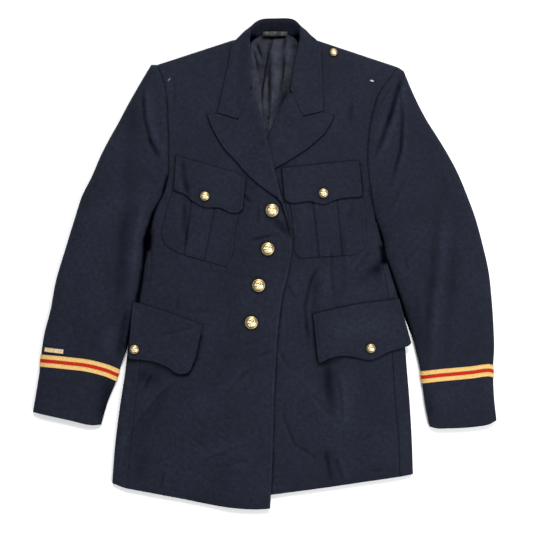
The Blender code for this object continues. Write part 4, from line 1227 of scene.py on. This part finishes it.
def topsleeve_grid(outer, inner, places, from_cuff, cuff_drop):
    """The upper half of a sleeve, turned under at its folded edges."""
    plan, from_outer, from_inner, share = ruled(
        outer, inner, places, NEAR_FOLD, NEAR_FOLD, STEP)
    lower_end(plan, share, places, cuff_drop, CUFF_FADE)
    width = from_outer + from_inner
    radius = np.minimum(SLEEVE_ROUND, 0.42 * width)
    x, y = plan[..., 0], plan[..., 1]
    seam = along(inner, places)[:, None]
    joined = attached(seam[..., 1])
    at_seam = body_top(seam[..., 0], seam[..., 1])
    creases = crease_height(x, y, SLEEVE_CREASES)
    level = read(SLEEVE_LEVEL, y) + fold_height(x, y) + waver(x, y, 31) + creases
    free = EDGE_TOP + (level - EDGE_TOP) * arch(from_outer / radius) * arch(from_inner / radius)
    away = smooth(from_inner, 0.0, 60.0)
    sewn = mix(at_seam, level, away) + creases * (1 - away)
    sewn += CAP_ROLL * bell(from_inner - 9.0, 7.0) * smooth(y, 120, 190)
    sewn = EDGE_TOP + (sewn - EDGE_TOP) * arch(from_outer / radius)
    sewn -= edge_drop(from_inner, *SLEEVE_SEAM_TURN)
    grid = raised(plan, mix(free, sewn, joined) - edge_drop(from_cuff, *CUFF_TURN))
    across = plan[:, -1] - plan[:, 0]
    across = across / np.linalg.norm(across, axis=1)[:, None]
    reach = np.minimum(1.0, 0.4 * width[:, :1] / TURN_UNDER)
    start, end = [], []
    for inset, low in zip(*turned_under(TURN_STEPS)):
        first, last = grid[:, 0].copy(), grid[:, -1].copy()
        first[:, :2] += across * inset * reach
        last[:, :2] -= across * inset * reach * (1 - joined)
        low = low + SHELL
        first[:, 2] = np.minimum(first[:, 2], low)
        last[:, 2] = mix(np.minimum(last[:, 2], low), last[:, 2] - (EDGE_TOP - low) * 0.5,
                         joined[:, 0])
        start.insert(0, first)
        end.append(last)
    return np.concatenate([np.stack(start, 1), grid, np.stack(end, 1)], axis=1)


def undersleeve(side, outer, inner):
    """The half that lies on the surface and shows a little past the upper one."""
    places, _, _ = row_places((outer, inner), COARSE_STEP, NEAR_EDGE[:3])
    inner = [(x + side.inward * mix(*UNDER_BEYOND, smooth(y, -125.0, -95.0))
              * (1 - attached(y)), y) for x, y in inner]
    plan, _, from_inner, share = ruled(
        shift(outer, side.inward * 3.0), inner, places, NEAR_EDGE[:3], NEAR_EDGE, COARSE_STEP)
    lower_end(plan, share, places, side.cuff_drop, CUFF_FADE)
    x, y = plan[..., 0], plan[..., 1]
    z = FLOOR_LIFT + 0.9 * np.maximum(0.0, crease_height(x, y, BACK_CREASES))
    z += 0.2 * (1 + ripple(x, y, 40.0, 41))
    z += edge_drop(from_inner, *BACK_SEAM_TURN) * attached(y)
    # painted shade: near black along the inner edge where it lies beside the body
    deep = -5.0 * (1 - smooth(from_inner, 9.0, 16.0)) * smooth(y, BESIDE_BODY, -110.0)
    sheet("sleeve_under_" + side.name, "undersleeve_" + side.name, "cloth", raised(plan, z),
          SHELL, (CLOTH, SATIN), (0, 0, -1), rim=from_inner + 2.0, fold=deep)


def surface_normals(grid):
    """The way the outer face looks at each point of a grid."""
    normal = np.cross(np.gradient(grid, axis=1), np.gradient(grid, axis=0))
    normal /= np.linalg.norm(normal, axis=2)[..., None] + 1e-9
    middle = normal[normal.shape[0] // 2, normal.shape[1] // 2]
    return normal if middle[2] > 0 else -normal


def bowed_band(patch, places, bow):
    """Rows of a dense patch of sleeve that follow the braid's bow."""
    across = patch[0, -1 - TURN_STEPS, :2] - patch[0, TURN_STEPS, :2]
    share = (patch[0, :, :2] - patch[0, TURN_STEPS, :2]) @ across / (across @ across)
    columns = []
    for points, above in zip(patch.transpose(1, 0, 2), read(bow, np.clip(share, 0.0, 1.0))):
        run = run_of(points)
        wanted = np.interp(BRAID_SECTION, places, run) + above
        wanted = wanted + np.linspace(0, BRAID_WIDTH, BRAID_ROWS)
        columns.append([np.interp(wanted, run, points[:, axis]) for axis in (0, 1, 2)])
    return np.array(columns).transpose(2, 0, 1)


def braid(side, outer, inner):
    """Lace over the upper half of a cuff: cords along its edges and its red stripe."""
    places = np.linspace(BRAID_SECTION - 0.7, BRAID_SECTION + 1.8, 3 * BRAID_ROWS)
    patch = topsleeve_grid(outer, inner, places, FAR, side.cuff_drop)
    grid = bowed_band(patch, places, side.bow)
    share = np.linspace(0, 1, BRAID_ROWS)
    cords = sum(bell(share - at, 0.035) for at in (0.05, 0.32, 0.68, 0.95))
    relief = 0.25 * cords + 0.15 * bell(share - 0.5, 0.12)
    grid = grid + surface_normals(grid) * (0.35 + TRIM_CLOTH + relief)[:, None, None]
    border = bell(np.minimum(share, 1 - share), 0.035)
    border += 0.6 * bell(np.abs(share - 0.5) - 0.15, 0.03)
    sheet("lace_top_" + side.name, "braid_" + side.name, "braid", grid, TRIM_CLOTH, (LACE,),
          band=np.where(np.abs(share - 0.5) < 0.145, 1.0, 0.0)[:, None], border=border[:, None])


def sleeve(side):
    """Both halves of a sleeve and the braid round its cuff."""
    outer, inner = ends(side.sleeve)
    outer, inner = outer + side.head, inner + shift(side.armhole, -SEAM * side.inward)
    places, from_cuff, _ = row_places((outer, inner), STEP, NEAR_EDGE, NEAR_FOLD)
    grid = topsleeve_grid(outer, inner, places, from_cuff[:, None], side.cuff_drop)
    # lines of painted shade: beside the body and along the sewn armhole
    beside_body = [(x, y) for x, y in inner if BESIDE_BODY < y < ARMPIT]
    sewn = [(x, y) for x, y in inner[:-2] if y > ARMPIT - 20]
    sheet("sleeve_top_" + side.name, "topsleeve_" + side.name, "cloth", grid, SHELL,
          (CLOTH, SATIN), rim=from_cuff[:, None],
          fold=painted_relief_shading(grid[..., 0], grid[..., 1], SLEEVE_CREASES,
                   [(beside_body, *side.pit), (sewn, 2.2, -1.4)]))
    undersleeve(side, outer, inner)
    braid(side, outer, inner)


# ---------------------------------------------------------------- collar, lapels

def lapel(side):
    """A lapel turned back on its front, lofted along its roll."""
    edge, roll = ends(side.lapel)
    places, from_top, _ = row_places((edge, roll), FINE_STEP, NEAR_EDGE, NEAR_EDGE[:3])
    plan, from_edge, from_roll, share = ruled(edge, roll, places, NEAR_EDGE, NEAR_FOLD, FINE_STEP)
    from_top = from_top[:, None]
    shares, *corners = zip((0.0, *edge[0]), *side.gorge, (1.0, *roll[0]))
    bent = np.stack([np.interp(share[0], shares, axis) for axis in corners], axis=1)
    plan = plan + (1 - smooth(places, 0.0, 4.0))[:, None, None] * (bent - plan[0])[None]
    tucked = smooth(share, NOTCH_SHARE, NOTCH_SHARE + 0.06) * (1 - smooth(from_top, 0, 9))
    plan = plan + tucked[..., None] * (-side.inward * TUCK[0], TUCK[1])
    x, y = plan[..., 0], plan[..., 1]
    loft = 3.2 * np.exp(-(from_roll / 15.0) ** 1.5) * smooth(y, *side.roll_fade)
    spring = LAPEL_SPRING * (1 - smooth(from_edge, 0.0, 16.0)) * smooth(from_top, 0, 20)
    z = front_top(side, x, y) + LAY + LAPEL_CLOTH + loft + spring
    z -= edge_drop(from_edge, *LAPEL_EDGE_TURN) + edge_drop(from_top, *LAPEL_TOP_TURN)
    z -= edge_drop(from_roll, *LAPEL_ROLL_TURN) + 1.5 * tucked
    past = FAR * smooth(share, NOTCH_SHARE - 0.16, NOTCH_SHARE + 0.3)
    # painted shading follows the cloth's slow unevenness
    sheet("revers_" + side.name, "lapel_" + side.name, "cloth", raised(plan, z), LAPEL_CLOTH,
          (FACING, CLOTH), rim=np.minimum(from_edge, from_top + past),
          fold=0.5 * waver(x, y))


def collar_section(section):
    """Eight points of a section, with the heights that it takes from the cloth."""
    edge, belly, crease, stand = np.array([
        (x, y, ground(np.array(x, float), np.array(y, float)) + LAY + LAPEL_CLOTH
         if z is None else z) for x, y, z in section])
    lifted = mix(crease, belly, 0.18) + (0, 0, 0.9)
    return [edge, mix(edge, belly, 0.5), belly, mix(belly, crease, 0.45), lifted,
            crease, mix(crease, stand, 0.35), stand]


def collar():
    """Stand and fall as one folded band."""
    sections = np.array([collar_section(section) for section in COLLAR])
    ridge = sections[:, 3, :2]
    places, _, _ = row_places((ridge, ridge), FINE_STEP, NEAR_EDGE[:4], NEAR_EDGE[:4])
    keys = np.arange(8.0)
    lines = np.stack([along(sections[:, index], places) for index in range(8)], axis=1)
    across = np.concatenate([[0, 0.04, 0.1, 0.2], np.linspace(0.33, 7, 46)])
    grid = np.stack([hermite(keys, row, across) for row in lines])
    straight = np.stack([np.stack([np.interp(across, keys, row[:, axis]) for axis in (0, 1, 2)],
                                  axis=1) for row in lines])
    end_run = (np.minimum(places - places[0], places[-1] - places) * COLLAR_SECTION)[:, None]
    grid = mix(straight, grid, smooth(end_run, 3.0, 22.0)[..., None])
    from_edge = step_lengths(grid, 1)
    x, y, z = grid.transpose(2, 0, 1)
    on_front = (1 - smooth(places, *COLLAR_LEAVES) + smooth(places, *COLLAR_LANDS))[:, None]
    floor = ground(x, y) + LAY + LAPEL_CLOTH
    z = np.where(across < 4.3, mix(z, np.maximum(z, floor), on_front), z)
    z -= edge_drop(from_edge, *COLLAR_EDGE_TURN) * on_front
    fall = 1 - smooth(across, *COLLAR_CREASE)
    seat = (1 - smooth(end_run, 0.0, 10.0)) * fall
    z = mix(z, floor + 0.9 + 2.2 * smooth(across, 2.4, 4.8), seat)
    z -= edge_drop(end_run, *COLLAR_END_TURN) * fall
    z += 0.25 * ripple(x, y, 26.0, 51)
    rim = np.minimum(from_edge, end_run + FAR * smooth(across, 1.5, 2.6))
    # painted shade inside the stand and in the back neck's corners
    fold = 0.5 * waver(x, y) - 2.9 * smooth(across, 5.1, 6.0)
    for corner_x, corner_y in COLLAR_CORNERS:
        fold -= 4.0 * np.exp(-((x - corner_x) / 7.0) ** 2 - ((y - corner_y) / 7.0) ** 2)
    sheet("collar_band", "collar", "cloth", np.stack([x, y, np.maximum(z, FLOOR_LIFT)], axis=2),
          LAPEL_CLOTH, (FACING, CLOTH), (0, 0.3, 1), rim=rim, fold=fold)


def lining():
    """The back's lining where the neck opening shows it."""
    left = [(row[1], row[0]) for row in LINING]
    right = [(row[2], row[0]) for row in LINING]
    places, _, _ = row_places((left, right), FINE_STEP)
    plan, from_left, from_right, _ = ruled(left, right, places, (0.0,), (0.0,), FINE_STEP)
    x, y = plan[..., 0], plan[..., 1]
    folds = crease_height(x, y, LINING_CREASES)
    z = 6.0 + back_raise(x, y) + folds
    z += 0.8 * ripple(x, y, 12.0, 61) + 0.35 * ripple(x, y, 4.5, 62)
    z += 3.0 * (bell(from_left, 14.0) + bell(from_right, 14.0))
    lit_point = 3.0 * bell(y - 234.0, 20.0)     # light reaches the opening's point
    # painted shade in the creases and under the label, painted light at the opening's point
    sheet("neck_lining", "lining_back", "lining", raised(plan, np.maximum(z, 3.0)),
          LINING_CLOTH, (SATIN,), fold=folds + shade_beside(x, y, LABEL_SHADE) + lit_point)


def strip(middle_x, middle_y, length, width, degrees, columns, rows):
    """Shares across and up a strip from its middle, and the plan of its points."""
    across, up = np.meshgrid(np.linspace(-0.5, 0.5, columns), np.linspace(-0.5, 0.5, rows))
    dx, dy, angle = across * length, up * width, math.radians(degrees)
    x = middle_x + dx * math.cos(angle) - dy * math.sin(angle)
    y = middle_y + dx * math.sin(angle) + dy * math.cos(angle)
    return across, up, np.stack([x, y], axis=2)


def label():
    """The bare strip at the neck."""
    middle_y, length, width = LABEL[1:4]
    across, _, plan = strip(*LABEL, columns=41, rows=9)
    base = max(laid_top(x, middle_y, width) for x in plan[0, :, 0]) + 0.3 + TRIM_CLOTH
    from_end = (0.5 - np.abs(across)) * length
    z = base + 0.3 * np.sin(across * 9.0) - edge_drop(from_end, *LABEL_END_TURN)
    sheet("neck_label", "label", "label", raised(plan, z), TRIM_CLOTH, (LABEL_TAPE,))


# ---------------------------------------------------------------- pockets, flaps

def lay_height(x, y, side):
    """Height of what is sewn on a front, kept level over the rounded side."""
    low, high = side_edge_x(y, RIGHT) + FLAP_INSET, side_edge_x(y, LEFT) - FLAP_INSET
    return front_top(side, np.clip(x, low, high), y) + LAY + POCKET_CLOTH


def pocket(side):
    """A patch pocket with a box pleat down its middle."""
    left, right = ends(side.pocket)
    places, from_top, length = row_places((left, right), FINE_STEP, end=NEAR_EDGE)
    plan, from_left, from_right, _ = ruled(left, right, places, NEAR_EDGE, NEAR_EDGE, 1.3)
    x, y = plan[..., 0], plan[..., 1]
    rim = np.minimum(np.minimum(from_left, from_right), length - from_top[:, None])
    first, second = (x - x1 - (y - y1) * (x2 - x1) / (y2 - y1) for x1, y1, x2, y2 in side.pleat)
    pleat = smooth(first, -0.6, 0.6) * (1 - smooth(second, -0.6, 0.6))
    dents = bell(first + 1.6, 1.5) + bell(second - 1.6, 1.5)
    z = lay_height(x, y, side) + PLEAT_RISE * pleat - 0.35 * dents - edge_drop(rim, *POCKET_TURN)
    # painted shade in the pleat's dents, with the front's painted shading
    sheet("patch_" + side.name, "chest_pocket_" + side.name, "cloth", raised(plan, z),
          POCKET_CLOTH, (STITCHED, CLOTH), rim=rim,
          fold=painted_relief_shading(x, y, BODY_CREASES, FLAP_EDGES) - 2.4 * dents)


def flap(side, place, lines):
    """A flap between its sewn top line and its shaped lower line."""
    places, run, width = row_places(lines, FINE_STEP, NEAR_EDGE, NEAR_EDGE)
    top, bottom = (along(line, places) for line in lines)
    height = np.linalg.norm(bottom - top, axis=1)
    side_run = np.minimum(run, width - run)
    off = np.clip(FLAP_CORNER - side_run, 0, FLAP_CORNER)
    full = height - (FLAP_CORNER - np.sqrt(np.maximum(FLAP_CORNER ** 2 - off ** 2, 0.0))) * 0.8
    rows = [share * (full - NEAR_EDGE[-1])
            for share in np.linspace(0, 1, int(height.max() / FINE_STEP))]
    down = np.stack(rows + [full - offset for offset in NEAR_EDGE[-2::-1]])
    plan = top[None] + (bottom - top)[None] * (down / height)[..., None]
    x, y = plan[..., 0], plan[..., 1]
    rim = np.minimum(np.minimum(side_run, full - down), FAR)
    lift = 0.9 * (down / height) ** 2 * (1 + 0.7 * ripple(x, y, 28.0, 71))
    z = lay_height(x, y, side) + FLAP_CLOTH + PLEAT_RISE + LAY + lift
    z -= edge_drop(rim, *FLAP_EDGE_TURN) + edge_drop(down, *FLAP_TOP_TURN)
    sheet(f"flap_{place}_{side.name}", f"{place}_flap_{side.name}", "cloth", raised(plan, z),
          FLAP_CLOTH, (STITCHED, CLOTH), rim=rim, fold=painted_relief_shading(x, y, BODY_CREASES))


# ---------------------------------------------------------------- buttons, bar

def button_face(share, turn):
    """Height of the dome and its struck relief: rope rim, lined field, plain leaves."""
    dome = 1.0 - DOME_DROP * share ** 2.2
    rope = bell(share - 0.9, 0.05) * (0.75 + 0.25 * np.sin(turn * 36 + share * 30))
    groove = bell(share - 0.79, 0.04)
    field = 0.5 + 0.5 * np.sin(share * 60)
    inside = smooth(0.76 - share, 0, 0.06)
    u, v = share * np.cos(turn) * 10.0, share * np.sin(turn) * 10.0
    leaves = ripple(u + 2 * np.abs(v), v, 2.3, 81) + 0.7 * ripple(u, v, 1.25, 82)
    leaves = smooth(leaves, -0.25, 0.3) * smooth(0.68 - share, 0, 0.08)
    relief = 0.6 * rope - 0.5 * groove + 0.12 * field * inside + 0.8 * leaves
    # the outermost rim is set low: it sinks a little and takes the hollow colour, painted shade
    # along the button's edge
    return dome, relief - 1.1 * smooth(share, 0.9, 1.0)


def button(node, x, y, diameter, height, degrees):
    """A domed button closed underneath, its shank just clear of the cloth."""
    radius = diameter / 2
    share = np.concatenate([[1e-4], np.linspace(0.02, 1.0, BUTTON_RINGS)])[:, None]
    turn = np.linspace(0, 2 * math.pi, BUTTON_SIDES + 1)[None] + math.radians(degrees)
    dome, relief = button_face(share, turn)
    under = np.array(BUTTON_UNDER)
    top_z = height * (dome - (1 - BUTTON_UNDER[0][1] - DOME_DROP) * share ** 8)
    top_z = top_z + 0.055 * height * relief * smooth(1.0 - share, 0.0, 0.06)
    base = max(laid_top(x, y, radius * 0.45), laid_top(x, y, radius) - BUTTON_SINK * height)
    ring = radius * np.concatenate([share, under[1:, :1] + 1e-4])
    z = np.concatenate([top_z, np.repeat(height * under[1:, 1:], BUTTON_SIDES + 1, 1)])
    grid = np.stack([x + ring * np.cos(turn), y + ring * np.sin(turn), base + SHANK_GAP + z],
                    axis=2)
    piece = build(node.replace("button", "gilt_button"), grid.reshape(-1, 3),
                  grid_faces(*z.shape)[:, ::-1], (GILT,))
    write_fact(piece.data, "relief",
               np.concatenate([relief, np.ones((len(under) - 1, BUTTON_SIDES + 1))]))
    weld = piece.modifiers.new("closed", "WELD")
    weld.merge_threshold = 0.00001
    settle(piece, node)


def thread_ends(name, x, y, degrees, yarn, colour):
    """Ends of thread left in the cloth where a trim was taken off."""
    rings, sides = 9, 7
    angle = math.radians(degrees)
    run = np.linspace(-0.5, 0.5, rings)[:, None]
    turn = np.linspace(0, 2 * math.pi, sides)[None]
    up = laid_top(x, y, 2.5) + 0.1 + 0.5 * (1 - (run * 2) ** 2) + THREAD_RADIUS * np.sin(turn)
    points, faces = [], []
    for index, (offset, length, bend) in enumerate(THREAD_ENDS):
        aside = offset + bend * (run * 2) ** 2 + THREAD_RADIUS * np.cos(turn)
        strand = np.stack([x + run * length * math.cos(angle) - aside * math.sin(angle),
                           y + run * length * math.sin(angle) + aside * math.cos(angle),
                           up], axis=2)
        points.append(strand.reshape(-1, 3))
        faces.append(grid_faces(rings, sides) + index * rings * sides)
    finish = thread(yarn, colour)
    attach(build(name, np.concatenate(points), np.concatenate(faces), (finish,)), "root")


def service_bar():
    """A short gold bar with cords, above the right cuff."""
    length, width = SERVICE_BAR[2:4]
    across, up, plan = strip(*SERVICE_BAR, columns=81, rows=31)
    rim = np.minimum((0.5 - np.abs(across)) * length, (0.5 - np.abs(up)) * width)
    tops = [laid_top(*point, 3.0) for point in plan[0]]
    base = np.convolve(np.pad(tops, 6, mode="edge"), np.full(13, 1 / 13), "valid")
    cords = 0.5 + 0.5 * np.cos(up * width * 2 * math.pi / 1.7)
    z = base + LAY + BAR_THICKNESS + smooth(rim, 0.9, 1.5) * (0.5 + 0.35 * cords)
    sheet("service_lace", "service_bar", "braid", raised(plan, z), BAR_THICKNESS, (BAR_LACE,),
          band=np.where(rim < 1.3, 1.0, 0.0), border=0.5 * bell(across, 0.03))


# ---------------------------------------------------------------- room

def room():
    """Floor, world, two lights and the camera."""
    corners = np.array([(-1, -1, 0), (1, -1, 0), (1, 1, 0), (-1, 1, 0)]) * FLOOR_REACH
    build("pale_floor", corners, np.array([(0, 1, 2, 3)]), (pale_floor(),))
    scene = bpy.context.scene
    scene.world = bpy.data.worlds.new("studio")
    scene.world.use_nodes = True
    background = scene.world.node_tree.nodes["Background"]
    background.inputs["Color"].default_value = SKY
    background.inputs["Strength"].default_value = SKY_STRENGTH
    for name, place, size, power in LIGHTS:
        light = bpy.data.lights.new(name, "AREA")
        light.size = size
        light.energy = power
        lamp = linked(name, light)
        lamp.location = place
        lamp.rotation_euler = (-Vector(place)).to_track_quat("-Z", "Y").to_euler()
    camera = bpy.data.cameras.new("camera")
    camera.sensor_width = SENSOR
    camera.lens = SENSOR * (CAMERA_AT[2] - CAMERA_PLANE) / CAMERA_FIELD
    scene.camera = linked("camera", camera)
    scene.camera.location = [place * MM for place in CAMERA_AT]
    scene.view_settings.view_transform = "Standard"


# ---------------------------------------------------------------- the tunic

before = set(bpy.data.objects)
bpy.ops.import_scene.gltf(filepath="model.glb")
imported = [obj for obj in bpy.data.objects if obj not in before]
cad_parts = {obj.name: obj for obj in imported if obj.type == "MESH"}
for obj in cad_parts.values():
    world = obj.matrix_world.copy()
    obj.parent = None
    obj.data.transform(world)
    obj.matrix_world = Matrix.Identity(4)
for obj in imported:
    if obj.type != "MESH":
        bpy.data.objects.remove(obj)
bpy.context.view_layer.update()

for half in SIDES:
    back(half)
for half in SIDES:
    side_panel(half)
for half in (LEFT, RIGHT):
    front(half)
    lapel(half)
collar()
for half in SIDES:
    sleeve(half)
lining()
label()
for half in SIDES:
    pocket(half)
for half in SIDES:
    flap(half, "chest", half.chest_flap)
for half in SIDES:
    flap(half, "hip", half.hip_flap)
service_bar()
for thread_row in THREADS:
    thread_ends(*thread_row)
for button_row in BUTTONS:
    button(*button_row)
room()
